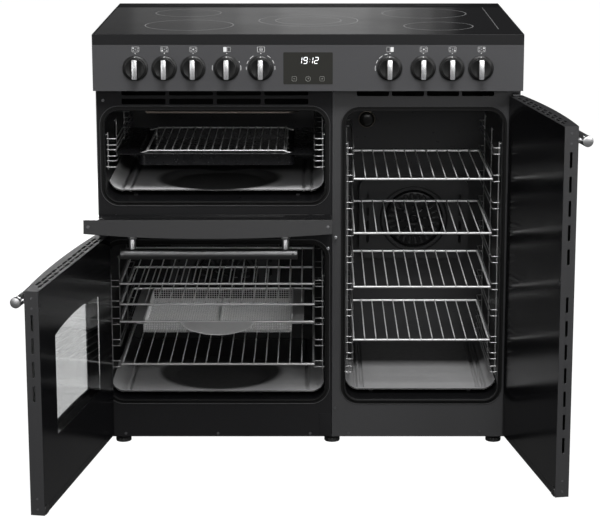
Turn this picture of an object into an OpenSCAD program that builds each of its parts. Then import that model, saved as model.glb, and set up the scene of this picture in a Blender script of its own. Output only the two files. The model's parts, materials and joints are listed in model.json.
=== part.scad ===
// Range cooker, 900 mm wide: ceramic hob, grill oven over a main oven on the left, tall oven on the right.
// Millimetres, +Z up, front towards -Y. The doors are drawn open, as they stand at rest.

/* [Cabinet] */
// Width over the control panel and hob
cab_w = 900; // [880:1:1000]
// Height from the floor to the hob surface
cab_h = 905; // [895:1:930]
// Depth from the control panel's face to the rear
cab_d = 600; // [580:1:640]
// How far the body stands back behind the control panel's face
recess = 40; // [38:1:50]
// Height of the levelling feet below the body
foot_h = 15; // [10:1:20]
// Thickness of the cabinet sheet
sheet = 2; // [1.5:0.5:3]
// Where the left and right oven fronts meet, right of the centre
split_x = 51; // [30:1:60]

/* [Hob] */
// Height of the hob's edge trim
hob_h = 22; // [20:1:30]
// Thickness of the ceramic glass
hob_glass_t = 6; // [4:1:6]
// Depth of the rear vent rail
rail_d = 90; // [60:1:100]

/* [Control panel] */
// Height of the control panel
panel_h = 97; // [90:1:110]
// Radius of a knob's skirt
knob_r = 26.5; // [22:0.5:27]
// How far a knob stands out of the panel
knob_out = 27; // [20:1:32]
// Width of the clock window
clock_w = 103; // [80:1:120]
// Height of the clock window
clock_h = 67; // [50:1:70]

/* [Doors] */
// Door thickness at its edges
door_t = 28; // [26:1:30]
// How far the middle of a door's skin bows outwards
door_bow = 10; // [6:1:10]
// Gap between a closed door and the body
door_gap = 5; // [4.5:0.5:6]
// Height of the top of the upper and right doors
doors_top = 772; // [760:1:775]
// Height of the bottom of the lower and right doors
doors_bottom = 22; // [20:1:30]
// Height of the top of the lower left door
left_door_top = 472; // [460:1:473]
// Opening angle of the left and right doors
side_open = 100; // [0:1:100]
// Opening angle of the drop-down grill door
grill_open = 80; // [0:1:80]
// Radius of the handle bars
handle_r = 11; // [8:0.5:11]

/* [Ovens] */
// Depth of the oven cavities behind the front plates
cavity_d = 430; // [400:5:450]
// Corner radius of the oven mouths
mouth_r = 30; // [25:1:40]
// Depth of the wire shelves
shelf_d = 337; // [300:1:340]
// Diameter of the shelf frame wire
frame_wire = 5; // [4:0.5:5]
// Diameter of the thin shelf wires
thin_wire = 2.5; // [2:0.5:3.5]

/* [Hidden] */

// The open doors set the footprint, and this puts its centre on the origin.
cab_x = 8.856;
cab_y = -79.657;

plate_y = recess;                       // front face of the body
mouth_y = plate_y + sheet;              // front edge of the cavities
face_y = plate_y - door_gap;            // inner face of a closed door
body_half = cab_w / 2 - 1;              // half the body's width
panel_z = cab_h - hob_h - panel_h;      // underside of the control panel
hob_z = cab_h - hob_h;                  // underside of the hob trim
knob_z = panel_z + panel_h / 2 - 0.5;   // height of the knob and clock centres
knob_xs = [-360.5, -300, -240, -170, -99, 170, 240, 300, 360.5];
panel_edge = sheet;
skin = 2;                               // door sheet
round_fn = 48;

// Oven mouths: centre x, centre z, width, height
grill_mouth = [-198, 640, 467, 195];
left_mouth = [-198, 274, 467, 347];
right_mouth = [246, 418, 332, 637];
liner = 1.5;                            // cavity wall

// Doors: left edge, bottom edge, width, height
side_margin = 448;
hinge_in = 12;                          // hinge axis in front of the inner face
hinge_over = 10;                        // hinge axis in from the door's edge
grill_door = [-side_margin, 494, side_margin + split_x - 2, doors_top - 494];
left_door = [-side_margin, doors_bottom, side_margin + split_x - 2, left_door_top - doors_bottom];
right_door = [split_x + 2, doors_bottom, side_margin - split_x - 2, doors_top - doors_bottom];
hinge_y = face_y - hinge_in;
grill_axis_z = grill_door[1] + hinge_over;
left_axis_x = left_door[0] + hinge_over;
right_axis_x = right_door[0] + right_door[2] - hinge_over;
pin_r = 4;
shaft_r = 3;                            // knob spindle
pin_clear = 0.06;                       // running clearance round a hinge pin
hinge_edge_r = 12.3;                    // a side door's rear edge keeps this near its axis, clear of the seal
rim = 14;                               // steel border round the inner glass
pane_t = 4;
handle_out = 42;                        // bar axis in front of the door's edge
handle_drop = 44;                       // bar axis below the door's top
latch_in = 6;                           // catch from the free edge
left_catch_z = 439;
right_catch_z = 463;
arm_xs = [-405, 5];                     // grill door hinge arms

// Shelves: height of the frame, and the levels of their runners
left_levels = [355, 309, 270, 174];
left_spare_levels = [222];
right_levels = [586.5, 467.5, 348, 229];
right_spare_levels = [646, 527, 408, 289, 192, 162];
grill_levels = [642];
grill_spare_levels = [618, 666];
left_shelf_w = 424;
right_shelf_w = 300;
shelf_y = 60;                           // front of the shelves
runner_r = 1.6;
runner_leg_r = 1.3;                     // legs that join the runners to their posts and the wall
runner_post_r = 1.8;
slot_gap = 0.4;                         // clearance between a shelf and its runners
fan_r = 52;
back_y = mouth_y + cavity_d - liner;     // inside of the cavities' rear walls
fan_y = back_y - 12;

module placed() translate([cab_x, cab_y, 0]) children();

// 2D outlines, and extrusion along each axis

module rounded_rect(w, h, r) {
  square([w - 2 * r, h], center = true);
  square([w, h - 2 * r], center = true);
  for (sx = [-1, 1], sy = [-1, 1])
    translate([sx * (w / 2 - r), sy * (h / 2 - r)]) circle(r = r, $fn = round_fn);
}

module slot_outline(length, width) {
  square([length - width, width], center = true);
  for (s = [-1, 1]) translate([s * (length - width) / 2, 0]) circle(d = width, $fn = 24);
}

// A rectangle with a low arched top, its bottom centre on the origin
module arched_outline(w, h, rise) {
  arc_r = (w * w / 4 + rise * rise) / (2 * rise);
  intersection() {
    translate([-w / 2, 0]) square([w, h]);
    translate([0, h - arc_r]) circle(r = arc_r, $fn = 180);
  }
}

// Extrudes an outline in X and Z along +Y, from y for a length
module along_y(y, length) translate([0, y + length, 0]) rotate([90, 0, 0]) linear_extrude(length) children();

module rod(length, r) cylinder(r = r, h = length, $fn = 16);
module rod_x(x0, x1, y, z, r) translate([x0, y, z]) rotate([0, 90, 0]) rod(x1 - x0, r);
module rod_y(x, y0, y1, z, r) translate([x, y0, z]) rotate([-90, 0, 0]) rod(y1 - y0, r);
module rod_z(x, y, z0, z1, r) translate([x, y, z0]) rod(z1 - z0, r);

// Door motion: each turns a closed door to its rest opening

module turn_about(centre, angles) translate(centre) rotate(angles) translate(-centre) children();
module grill_swing() turn_about([0, hinge_y, grill_axis_z], [grill_open, 0, 0]) children();
module left_swing() turn_about([left_axis_x, hinge_y, 0], [0, 0, -side_open]) children();
module right_swing() turn_about([right_axis_x, hinge_y, 0], [0, 0, side_open]) children();

// Cabinet sheet metal

module side_panel(side) {
  x_in = side * (body_half - sheet);
  flange = 18;
  module wall(x0, x1, y0, y1)
    translate([min(x0, x1), y0, foot_h]) cube([abs(x1 - x0), y1 - y0, hob_z - foot_h]);
  color("#2c2c2e") {
    wall(x_in, side * body_half, plate_y, cab_d - sheet);
    wall(x_in, x_in - side * flange, cab_d - 2 * sheet, cab_d - sheet);
  }
}
module left_side_panel() side_panel(-1);
module right_side_panel() side_panel(1);

module back_panel() {
  vent_w = 60;
  vent_h = 5;
  color("#8f9193") difference() {
    translate([-body_half, cab_d - sheet, foot_h]) cube([2 * body_half, sheet, hob_z - foot_h]);
    for (bank_x = [-200, 245], column = [-1, 0, 1], row = [0:4])
      along_y(cab_d - 2 * sheet, 3 * sheet)
        translate([bank_x + column * 80, 700 + row * 16]) slot_outline(vent_w, vent_h);
  }
}

module base_plate() {
  color("#3a3a3c") translate([-body_half + sheet, plate_y + sheet, foot_h])
    cube([2 * (body_half - sheet), cab_d - plate_y - 3 * sheet, sheet]);
}

module mouth_outline(mouth, grow = 0)
  translate([mouth[0], mouth[1]]) rounded_rect(mouth[2] + 2 * grow, mouth[3] + 2 * grow, mouth_r + grow);

module vent_slots(x_start, pitch, length, zs)
  for (z = zs, i = [0:3]) translate([x_start + i * pitch + length / 2, z]) rounded_rect(length, 12, 3);

plate_gap = 0.5;                        // from a front plate to the joint between the two
plate_lap = 12;                         // how far the plates run up behind the control panel

module left_front_plate() {
  color("#3b3b3d") along_y(plate_y, sheet) difference() {
    translate([-body_half + sheet, foot_h])
      square([body_half - sheet + split_x - plate_gap, panel_z + plate_lap - foot_h]);
    mouth_outline(grill_mouth);
    mouth_outline(left_mouth);
    vent_slots(-394.5, 100.6, 93, [757.5, 776.5]);
  }
}

module right_front_plate() {
  color("#454547") along_y(plate_y, sheet) difference() {
    translate([split_x + plate_gap, foot_h])
      square([body_half - sheet - split_x - plate_gap, panel_z + plate_lap - foot_h]);
    mouth_outline(right_mouth);
    vent_slots(103, 74, 68, [775]);
  }
}

module levelling_feet() {
  pad_r = 17;
  stem_r = 5;
  color("#161616") for (x = [-407, 52, 407], y = [62, 555]) {
    translate([x, y, 0]) cylinder(r = pad_r, h = 9, $fn = round_fn);
    translate([x, y, 9]) cylinder(r = stem_r + 4, h = foot_h - 9, $fn = round_fn);
  }
}

module screws() {
  head_r = 3;
  head_h = 1.2;
  front_spots = [[-400, 22], [-198, 22], [4, 22], [88, 22], [375, 27], [58, 80], [434, 700], [-434, 760]];
  back_spots = [for (x = [-430, 0, 430], z = [40, 430, 860]) [x, z]];
  color("#9a9a9a") {
    for (p = front_spots) rod_y(p[0], plate_y - head_h, plate_y, p[1], head_r);
    for (p = back_spots) rod_y(p[0], cab_d, cab_d + head_h, p[1], head_r);
  }
}

module terminal_cover() {
  box_w = 120;
  box_h = 80;
  box_d = 18;
  color("#6d6f70") difference() {
    along_y(cab_d, box_d) translate([300, 120]) rounded_rect(box_w, box_h, 8);
    along_y(cab_d - 1, box_d - 1) translate([300, 120]) rounded_rect(box_w - 4, box_h - 4, 6);
    translate([300, cab_d + box_d / 2, 70]) cylinder(r = 6, h = 30, $fn = 32);
  }
}

// Hob

hob_zones = [[-273, 398, 74], [-257, 163, 95], [0, 250, 109], [262, 388, 95], [280, 146, 74]];

module hob_trim() {
  wall = 4;
  ledge = 16;
  color("#3e3e40") difference() {
    translate([-cab_w / 2, 0, hob_z]) cube([cab_w, cab_d, hob_h]);
    translate([-cab_w / 2 + wall, wall, cab_h - hob_glass_t])
      cube([cab_w - 2 * wall, cab_d - 2 * wall, hob_h]);
    translate([-cab_w / 2 + ledge, ledge, hob_z - 1])
      cube([cab_w - 2 * ledge, cab_d - 2 * ledge, hob_h]);
  }
}

module hob_glass() {
  edge = 4;
  color("#1c1c1d") translate([-cab_w / 2 + edge, edge, cab_h - hob_glass_t])
    cube([cab_w - 2 * edge, cab_d - rail_d - edge, hob_glass_t]);
}

module rear_vent_rail() {
  edge = 4;
  slot_w = 120;
  color("#4a4a4c") difference() {
    translate([-cab_w / 2 + edge, cab_d - rail_d, cab_h - hob_glass_t])
      cube([cab_w - 2 * edge, rail_d - edge, hob_glass_t]);
    for (i = [-2:2])
      translate([i * 150, cab_d - rail_d / 2, cab_h - 2 * hob_glass_t])
        linear_extrude(3 * hob_glass_t) slot_outline(slot_w, 8);
  }
}

module hob_elements() {
  pan_h = 12;
  color("#6b3a2a") for (zone = hob_zones)
    translate([zone[0], zone[1], cab_h - hob_glass_t - pan_h]) difference() {
      cylinder(r = zone[2], h = pan_h, $fn = 64);
      translate([0, 0, 4]) cylinder(r = zone[2] - 6, h = pan_h, $fn = 64);
    }
}

// Control panel and its controls

module control_panel() {
  shaft_hole = 4.5;
  color("#47474a") difference() {
    translate([-cab_w / 2, 0, panel_z]) cube([cab_w, recess - 0.5, panel_h]);
    translate([-cab_w / 2 + panel_edge, panel_edge, panel_z + panel_edge])
      cube([cab_w - 2 * panel_edge, recess, panel_h]);
    for (x = knob_xs) rod_y(x, -1, 5, knob_z, shaft_hole);
    along_y(-1, 5) translate([0, knob_z]) rounded_rect(clock_w, clock_h, 2);
  }
}

module clock_window() {
  color("#262627") along_y(-0.8, 10) translate([0, knob_z]) rounded_rect(clock_w, clock_h, 2);
}

module knob_switches() {
  case = [34, 24, 34];
  color("#7d7468") for (x = knob_xs) difference() {
    translate([x - case[0] / 2, panel_edge, knob_z - case[2] / 2]) cube(case);
    rod_y(x, -1, case[1] - 4, knob_z, shaft_r + pin_clear);
  }
}

module knob(i) {
  skirt_h = 4;
  disc_r = 20.5;
  ridge_w = 13;
  insert = [9.5, 40];
  gap = 0.6;
  color("#1a1a1b") translate([knob_xs[i], 0, knob_z]) rotate([90, 0, 0]) {
    translate([0, 0, gap]) cylinder(r = knob_r, h = skirt_h, $fn = 64);
    translate([0, 0, gap + skirt_h]) cylinder(r = disc_r + 1.5, h = 5, $fn = 64);
    intersection() {
      translate([0, 0, gap]) cylinder(r = disc_r + 0.5, h = knob_out - 2, $fn = 64);
      translate([-ridge_w / 2, -knob_r, gap]) cube([ridge_w, 2 * knob_r, knob_out - 2]);
    }
    translate([-insert[0] / 2, -insert[1] / 2, gap]) cube([insert[0], insert[1], knob_out - gap]);
    translate([0, 0, -15]) cylinder(r = shaft_r, h = 16, $fn = 24);
  }
}
module knob_1() knob(0);
module knob_2() knob(1);
module knob_3() knob(2);
module knob_4() knob(3);
module knob_5() knob(4);
module knob_6() knob(5);
module knob_7() knob(6);
module knob_8() knob(7);
module knob_9() knob(8);

// Oven cavities

module cavity(mouth, floor_disc_r, has_fan) {
  floor_z = mouth[1] - mouth[3] / 2;
  color("#242425") difference() {
    union() {
      difference() {
        along_y(mouth_y, cavity_d) mouth_outline(mouth, liner);
        along_y(mouth_y - 1, cavity_d + 1 - liner) mouth_outline(mouth);
      }
      for (s = [-1, 1])
        translate([mouth[0] + s * (mouth[2] / 2 - 58) - 4, mouth_y + 62, floor_z - 0.5])
          cube([8, cavity_d - 132, 3.5]);
      if (floor_disc_r > 0)
        translate([mouth[0], 290, floor_z - 0.5]) cylinder(r = floor_disc_r, h = 3.5, $fn = 96);
    }
    if (has_fan) rod_y(mouth[0], mouth_y + cavity_d - 5, mouth_y + cavity_d + 5, mouth[1], 7);
  }
}
module grill_cavity() cavity(grill_mouth, 135, false);
module left_cavity() cavity(left_mouth, 135, true);
module right_cavity() cavity(right_mouth, 0, true);

// Seals stand clear of the closed doors by their rest gap
module mouth_seals() {
  color("#0f0f10") for (mouth = [grill_mouth, left_mouth, right_mouth])
    along_y(face_y + 0.4, door_gap - 0.4) difference() {
      mouth_outline(mouth, 4.2);
      mouth_outline(mouth, 0.5);
    }
}

module grill_element() {
  rod_r = 3.5;
  z = grill_mouth[1] + grill_mouth[3] / 2 - 14;
  half = 150;
  bars = 6;
  pitch = 50;
  color("#5a4b42") {
    for (i = [0:bars - 1]) rod_x(grill_mouth[0] - half, grill_mouth[0] + half, 110 + i * pitch, z, rod_r);
    for (i = [0:bars - 2], s = [-1, 1])
      if ((s > 0) == (i % 2 == 0))
        translate([grill_mouth[0] + s * half, 110 + (i + 0.5) * pitch, z]) rotate([0, 0, s > 0 ? -90 : 90])
          rotate_extrude(angle = 180, $fn = 32) translate([pitch / 2, 0]) circle(r = rod_r, $fn = 16);
    for (s = [-1, 1]) rod_z(grill_mouth[0] + s * half, s > 0 ? 360 : 110, z, z + 14, rod_r);
  }
}

module ring_elements() {
  ring_r = [66, 76];
  color("#5a4b42") for (mouth = [left_mouth, right_mouth]) {
    translate([mouth[0], fan_y, mouth[1]]) rotate([90, 0, 0])
      for (r = ring_r) rotate_extrude($fn = 64) translate([r, 0]) circle(r = 3, $fn = 16);
    rod_x(mouth[0] + ring_r[0], mouth[0] + ring_r[1], fan_y, mouth[1], 2.5);
    for (r = ring_r) rod_y(mouth[0] + r, fan_y, back_y, mouth[1], 2.5);
  }
}

// The cover is a dished plate with a ring of slots round a grille of bars
module fan_cover(mouth, plate_w, plate_h) {
  dish_d = 40;
  cover_y = back_y - dish_d;
  color("#1e1e1f") difference() {
    along_y(cover_y, dish_d) translate([mouth[0], mouth[1]]) rounded_rect(plate_w, plate_h, 24);
    along_y(cover_y + sheet, dish_d) translate([mouth[0], mouth[1]])
      rounded_rect(plate_w - 2 * sheet, plate_h - 2 * sheet, 22);
    for (a = [0:15:345]) translate([mouth[0], cover_y + 1, mouth[1]]) rotate([0, a, 0])
      along_y(-5, 10) translate([0, 38]) slot_outline_vertical(5, 34);
    for (s = [-1, 1], i = [0:3])
      along_y(cover_y - 2, 8) translate([mouth[0] + s * (plate_w / 2 - 20), mouth[1] - 48 + 32 * i])
        slot_outline_vertical(6, 22);
  }
}
module slot_outline_vertical(width, length) rotate([0, 0, 90]) slot_outline(length, width);
module fan_covers() {
  fan_cover(left_mouth, 256, 190);
  fan_cover(right_mouth, 256, 190);
}

module fan(mouth) {
  blades = 12;
  hub_r = 12;
  blade_h = 16;
  color("#a9abad") translate([mouth[0], fan_y - 6, mouth[1]]) rotate([-90, 0, 0]) {
    cylinder(r = hub_r, h = 10, $fn = 32);
    cylinder(r = fan_r, h = 1.5, $fn = 64);
    for (i = [0:blades - 1]) rotate([0, 0, i * 360 / blades])
      translate([hub_r - 2, -0.75, -blade_h / 2]) cube([fan_r - hub_r, 1.5, blade_h / 2 + 1]);
    cylinder(r = pin_r, h = 30, $fn = 24);
  }
}
module left_fan() fan(left_mouth);
module right_fan() fan(right_mouth);

module fan_motors() {
  color("#7f8284") for (mouth = [left_mouth, right_mouth])
    translate([mouth[0], mouth_y + cavity_d, mouth[1]]) rotate([-90, 0, 0]) difference() {
      union() {
        cylinder(r = 32, h = 6, $fn = 48);
        translate([-26, -26, 5]) cube([52, 52, 40]);
      }
      translate([0, 0, -1]) cylinder(r = pin_r + pin_clear, h = 30, $fn = 24);
    }
}

module oven_lamps() {
  spots = [
    [grill_mouth[0] + 150, grill_mouth[1] + 50],
    [left_mouth[0] + 160, left_mouth[1] + 120],
    [right_mouth[0] - 110, right_mouth[1] + 230]
  ];
  color("#e8e2cf") for (p = spots)
    translate([p[0], back_y - 6, p[1]]) rotate([-90, 0, 0]) cylinder(r = 20, h = 6, $fn = 48);
}

// Side runners: three posts by the wall, with a pair of rungs standing off them at each level
module ladder(wall_x, side, rung_x, levels, front, back) {
  post_x = wall_x + side * 4.5;
  low = min(levels) - 10;
  high = max(levels) + 22;
  posts = [front + 10, (front + back) / 2, back - 10];
  for (y = posts) {
    rod_z(post_x, y, low, high, runner_post_r);
    for (z = [low + 12, high - 3]) rod_x(min(wall_x, post_x), max(wall_x, post_x), y, z, runner_leg_r);
  }
  for (z = levels, dz = [-(frame_wire / 2 + runner_r + slot_gap), frame_wire / 2 + runner_r + 5]) {
    rod_y(rung_x, front, back, z + dz, runner_r);
    for (y = posts)
      rod_x(min(post_x, rung_x), max(post_x, rung_x), y, z + dz, runner_leg_r);
  }
}

module cavity_ladders(mouth, shelf_w, levels)
  for (side = [-1, 1])
    ladder(mouth[0] + side * mouth[2] / 2, -side, mouth[0] + side * (shelf_w / 2 - 1), levels, 52, 415);

module shelf_ladders() {
  color("#b9bbbd") {
    cavity_ladders(left_mouth, left_shelf_w, concat(left_levels, left_spare_levels));
    cavity_ladders(right_mouth, right_shelf_w, concat(right_levels, right_spare_levels));
    cavity_ladders(grill_mouth, left_shelf_w, concat(grill_levels, grill_spare_levels));
  }
}

// Hinges and catches

module hinge_brackets() {
  plate_t = 3;
  tab = [14, plate_y - hinge_y + 6];
  pin_l = 14;
  module upright(x, z, up) {
    translate([x - tab[0] / 2, hinge_y - 6, z]) cube([tab[0], tab[1], plate_t]);
    rod_z(x, hinge_y, up > 0 ? z : z - pin_l, up > 0 ? z + plate_t + pin_l : z + plate_t, pin_r);
  }
  color("#9b9da0") {
    upright(left_axis_x, doors_bottom - 1 - plate_t, 1);
    upright(left_axis_x, left_door_top + 1, -1);
    upright(right_axis_x, doors_bottom - 1 - plate_t, 1);
    upright(right_axis_x, doors_top + 1, -1);
    for (x = arm_xs) {
      translate([x - 3, hinge_y - 5, grill_axis_z - 5]) cube([6, plate_y - hinge_y + 5, 10]);
      rod_x(x - 18, x + 18, hinge_y, grill_axis_z, pin_r);
    }
  }
}

module door_catches() {
  stud_r = 2;
  stud_l = 10;
  spots = [[split_x - 2 - latch_in, left_catch_z], [split_x + 2 + latch_in, right_catch_z]];
  color("#d0d2d4") for (spot = spots) {
    rod_y(spot[0], plate_y - stud_l, plate_y, spot[1], stud_r);
    rod_y(spot[0], plate_y - 2, plate_y, spot[1], stud_r + 1);
  }
}

// Doors. A door is drawn with its left bottom corner on the origin and its inner face on y = 0.

function bow_radius(w) = (w * w / 4 + door_bow * door_bow) / (2 * door_bow);
function bow_sag(w, d) = bow_radius(w) - sqrt(bow_radius(w) * bow_radius(w) - d * d);

module bowed_block(w, h, inset, back) {
  deep = door_t + door_bow;
  intersection() {
    translate([inset, -deep, inset]) cube([w - 2 * inset, deep - back, h - 2 * inset]);
    translate([w / 2, bow_radius(w) - deep, inset - 1])
      cylinder(r = bow_radius(w) - inset, h = h - 2 * inset + 2, $fn = 720);
  }
}

module window_outline(w, window) translate([w / 2, window[0]]) arched_outline(window[1], window[2], 12);

// Two rows of cooling slots through a side door's top edge
module top_vents(w, h) {
  pitch = 34;
  count = floor((w - 50) / pitch);
  row_y = [-9, -19];
  for (row = [0, 1], i = [0:count - 1 - row])
    translate([w / 2 + (i - (count - 1 - row) / 2) * pitch, row_y[row], h - 5])
      linear_extrude(10) slot_outline(27, 5);
}

// window is [bottom, width, height], or [] for none; a side door has slots in its free edge at slot_zs
module door_tray(door, window, free_side, slot_zs, bushes) {
  w = door[2];
  h = door[3];
  deep = door_t + door_bow;
  bush_r = 8.6;
  bore_r = pin_r + pin_clear;
  difference() {
    union() {
      difference() {
        bowed_block(w, h, 0, 0);
        bowed_block(w, h, skin, pane_t);
        translate([rim, -pane_t - 1, rim]) cube([w - 2 * rim, pane_t + 2, h - 2 * rim]);
      }
      for (b = bushes) translate(b[0]) rotate(b[1]) cylinder(r = bush_r, h = b[2], $fn = 32);
    }
    for (b = bushes)
      translate(b[0]) rotate(b[1]) translate([0, 0, -1]) cylinder(r = bore_r, h = b[2] + 2, $fn = 32);
    if (len(window) > 0) along_y(-deep - 5, deep) window_outline(w, window);
    if (len(slot_zs) > 0) top_vents(w, h);
    for (z = slot_zs)
      translate([free_side > 0 ? w - 4 : -4, -door_t / 2, z]) rotate([90, 0, 90])
        linear_extrude(8) slot_outline_vertical(5, 32);
  }
}

module door_glass(door, window) {
  w = door[2];
  h = door[3];
  difference() {
    translate([rim, -pane_t, rim]) cube([w - 2 * rim, pane_t, h - 2 * rim]);
    if (len(window) > 0) along_y(-pane_t - 1, pane_t + 2) window_outline(w, window);
  }
}

// The clear inner pane fills the printed glass's window, and a curved outer pane backs the skin
module door_window(door, window) {
  w = door[2];
  border = 10;
  deep = door_t + door_bow;
  color("#30383c", 0.5) {
    along_y(-pane_t, pane_t - 0.2) window_outline(w, window);
    intersection() {
      difference() {
        bowed_block(w, door[3], skin, 0);
        bowed_block(w, door[3], skin + pane_t, 0);
      }
      translate([(w - window[1]) / 2 - border, -deep - 1, window[0] - border])
        cube([window[1] + 2 * border, deep / 2, window[2] + 2 * border]);
    }
  }
}

module door_handle(door) {
  w = door[2];
  inset = 70;
  post_in = inset + 24;
  post_r = 7;
  bar_y = -door_t - handle_out;
  z = door[3] - handle_drop;
  color("#c2c4c6") difference() {
    union() {
      translate([inset, bar_y, z]) rotate([0, 90, 0])
        cylinder(r = handle_r, h = w - 2 * inset, $fn = round_fn);
      for (x = [post_in, w - post_in]) {
        skin_y = -door_t - door_bow + bow_sag(w, w / 2 - post_in);
        rod_y(x, bar_y, skin_y + 3, z, post_r);
        rod_y(x, skin_y - 4, skin_y + 3, z, post_r + 2.5);
      }
    }
    bowed_block(w, door[3], 0, 0);
  }
}

module at_door(door) translate([door[0], face_y, door[1]]) children();

grill_window = [70, 300, 110];
left_window = [133, 300, 216];
right_slots = [for (i = [0:12]) if (i != 7) 108 + 48 * i];
left_slots = [246, 294, 342, 387];
bush_depth = 16;

module grill_door_tray() color("#39393b") grill_swing() at_door(grill_door) difference() {
  door_tray(grill_door, grill_window, 1, [],
    [for (x = arm_xs, s = [-1, 1])
      [[x - grill_door[0] + (s > 0 ? 6 : -20), -hinge_in, hinge_over], [0, 90, 0], 14]]);
  for (x = arm_xs)
    translate([x - grill_door[0] - 5, -hinge_in - 8, -1]) cube([10, hinge_in + 10, hinge_over + 10]);
}
module grill_door_glass() color("#0c0c0d") grill_swing() at_door(grill_door) difference() {
  door_glass(grill_door, grill_window);
  for (x = arm_xs) translate([x - grill_door[0] - 5, -10, -1]) cube([10, 12, hinge_over + 10]);
}
module grill_door_window() grill_swing() at_door(grill_door) door_window(grill_door, grill_window);
module grill_door_handle() grill_swing() at_door(grill_door) door_handle(grill_door);

function side_bush_list(x, h) =
  [[[x, -hinge_in, 0], [0, 0, 0], bush_depth], [[x, -hinge_in, h - bush_depth], [0, 0, 0], bush_depth]];

// What the rounded rear edge of a side door leaves off; side is -1 where the edge is left of the axis
module hinge_edge_round(x, side, h)
  translate([x, -hinge_in, -1]) linear_extrude(h + 2) difference() {
    translate([side > 0 ? 1 : -hinge_over - 1, 1]) square([hinge_over, hinge_in]);
    circle(r = hinge_edge_r, $fn = 96);
  }

module latch_hole(x, z)
  translate([x, -pane_t - 1, z]) rotate([-90, 0, 0]) cylinder(r = 3.6, h = pane_t + 2, $fn = 32);

module left_door_tray() color("#39393b") left_swing() at_door(left_door) difference() {
  door_tray(left_door, left_window, 1, left_slots, side_bush_list(hinge_over, left_door[3]));
  latch_hole(left_door[2] - latch_in, left_catch_z - left_door[1]);
  hinge_edge_round(hinge_over, -1, left_door[3]);
}
module left_door_glass() color("#0c0c0d") left_swing() at_door(left_door) door_glass(left_door, left_window);
module left_door_window() left_swing() at_door(left_door) door_window(left_door, left_window);
module left_door_handle() left_swing() at_door(left_door) door_handle(left_door);

module right_door_tray() color("#39393b") right_swing() at_door(right_door) difference() {
  door_tray(right_door, [], -1, right_slots, side_bush_list(right_door[2] - hinge_over, right_door[3]));
  latch_hole(latch_in, right_catch_z - right_door[1]);
  hinge_edge_round(right_door[2] - hinge_over, 1, right_door[3]);
}
module right_door_glass() color("#0c0c0d") right_swing() at_door(right_door) door_glass(right_door, []);
module right_door_handle() right_swing() at_door(right_door) door_handle(right_door);

// Shelves and trays

// A rectangle of frame wire with thin wires laid front to back on top of it
module wire_shelf(mouth, w, z, wires) {
  r = frame_wire / 2;
  x0 = mouth[0] - w / 2 + r;
  x1 = mouth[0] + w / 2 - r;
  y1 = shelf_y + shelf_d;
  pitch = (x1 - x0) / (wires + 1);
  color("#c8cacc") {
    for (x = [x0, x1]) {
      rod_y(x, shelf_y, y1, z, r);
      for (y = [shelf_y, y1]) translate([x, y, z]) sphere(r = r, $fn = 16);
    }
    for (y = [shelf_y, y1]) rod_x(x0, x1, y, z, r);
    for (i = [1:wires]) rod_y(x0 + i * pitch, shelf_y, y1, z + r - 0.5, thin_wire / 2);
  }
}
module left_shelf_top() wire_shelf(left_mouth, left_shelf_w, left_levels[0], 15);
module left_shelf_middle() wire_shelf(left_mouth, left_shelf_w, left_levels[1], 15);
module left_shelf_bottom() wire_shelf(left_mouth, left_shelf_w, left_levels[3], 15);
module right_shelf_1() wire_shelf(right_mouth, right_shelf_w, right_levels[0], 11);
module right_shelf_2() wire_shelf(right_mouth, right_shelf_w, right_levels[1], 11);
module right_shelf_3() wire_shelf(right_mouth, right_shelf_w, right_levels[2], 11);
module right_shelf_4() wire_shelf(right_mouth, right_shelf_w, right_levels[3], 11);

// A perforated pan hung in a wire frame, with a dished front plate as its grip
module roasting_basket() {
  r = frame_wire / 2;
  z = left_levels[2];
  w = 324;
  d = 289;
  deep = 25;
  wall = 1.5;
  hole = 7;
  hole_pitch = 18;
  x0 = left_mouth[0] - left_shelf_w / 2 + r;
  x1 = left_mouth[0] + left_shelf_w / 2 - r;
  y1 = shelf_y + d;
  columns = floor((w - 30) / hole_pitch);
  color("#b4b6b8") {
    for (y = [shelf_y, y1]) rod_x(x0, x1, y, z, r);
    for (x = [x0, x1]) {
      rod_y(x, shelf_y, y1, z, r);
      for (y = [shelf_y, y1]) translate([x, y, z]) sphere(r = r, $fn = 16);
    }
    difference() {
      translate([left_mouth[0] - w / 2, shelf_y, z - deep]) cube([w, d, deep]);
      translate([left_mouth[0] - w / 2 + wall, shelf_y + wall, z - deep + wall])
        cube([w - 2 * wall, d - 2 * wall, deep]);
      for (s = [0:columns - 1])
        translate([left_mouth[0] + (s - (columns - 1) / 2) * hole_pitch - hole / 2, 0, z - deep]) {
          translate([0, shelf_y - 1, 5]) cube([hole, d + 2, 13]);
          for (i = [0:3]) translate([0, shelf_y + 18 + i * 66, -1]) cube([hole, 56, 4]);
        }
    }
    translate([left_mouth[0], shelf_y - r - 1.5, z + r]) rotate([90, 0, 0]) linear_extrude(2) intersection() {
      translate([-84, -32]) square([168, 32]);
      translate([0, 90]) circle(r = 122, $fn = 120);
    }
    translate([left_mouth[0] - 84, shelf_y - r - 2.5, z - 1]) cube([168, r + 3, r + 1]);
  }
}

pan_w = 424;
pan_d = 330;
pan_deep = 27;

// An enamelled pan whose rim rests on the runners
module grill_pan() {
  rim_t = 2;
  z = grill_levels[0] - frame_wire / 2 + rim_t;
  body = [338, pan_d - 24];
  color("#131314") translate([grill_mouth[0], shelf_y + pan_d / 2, z]) difference() {
    union() {
      translate([0, 0, -rim_t]) linear_extrude(rim_t) rounded_rect(pan_w, pan_d, 12);
      translate([0, 0, -pan_deep]) linear_extrude(pan_deep) rounded_rect(body[0], body[1], 18);
    }
    translate([0, 0, rim_t - pan_deep])
      linear_extrude(pan_deep) rounded_rect(body[0] - 2 * rim_t, body[1] - 2 * rim_t, 16);
  }
}

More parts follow.
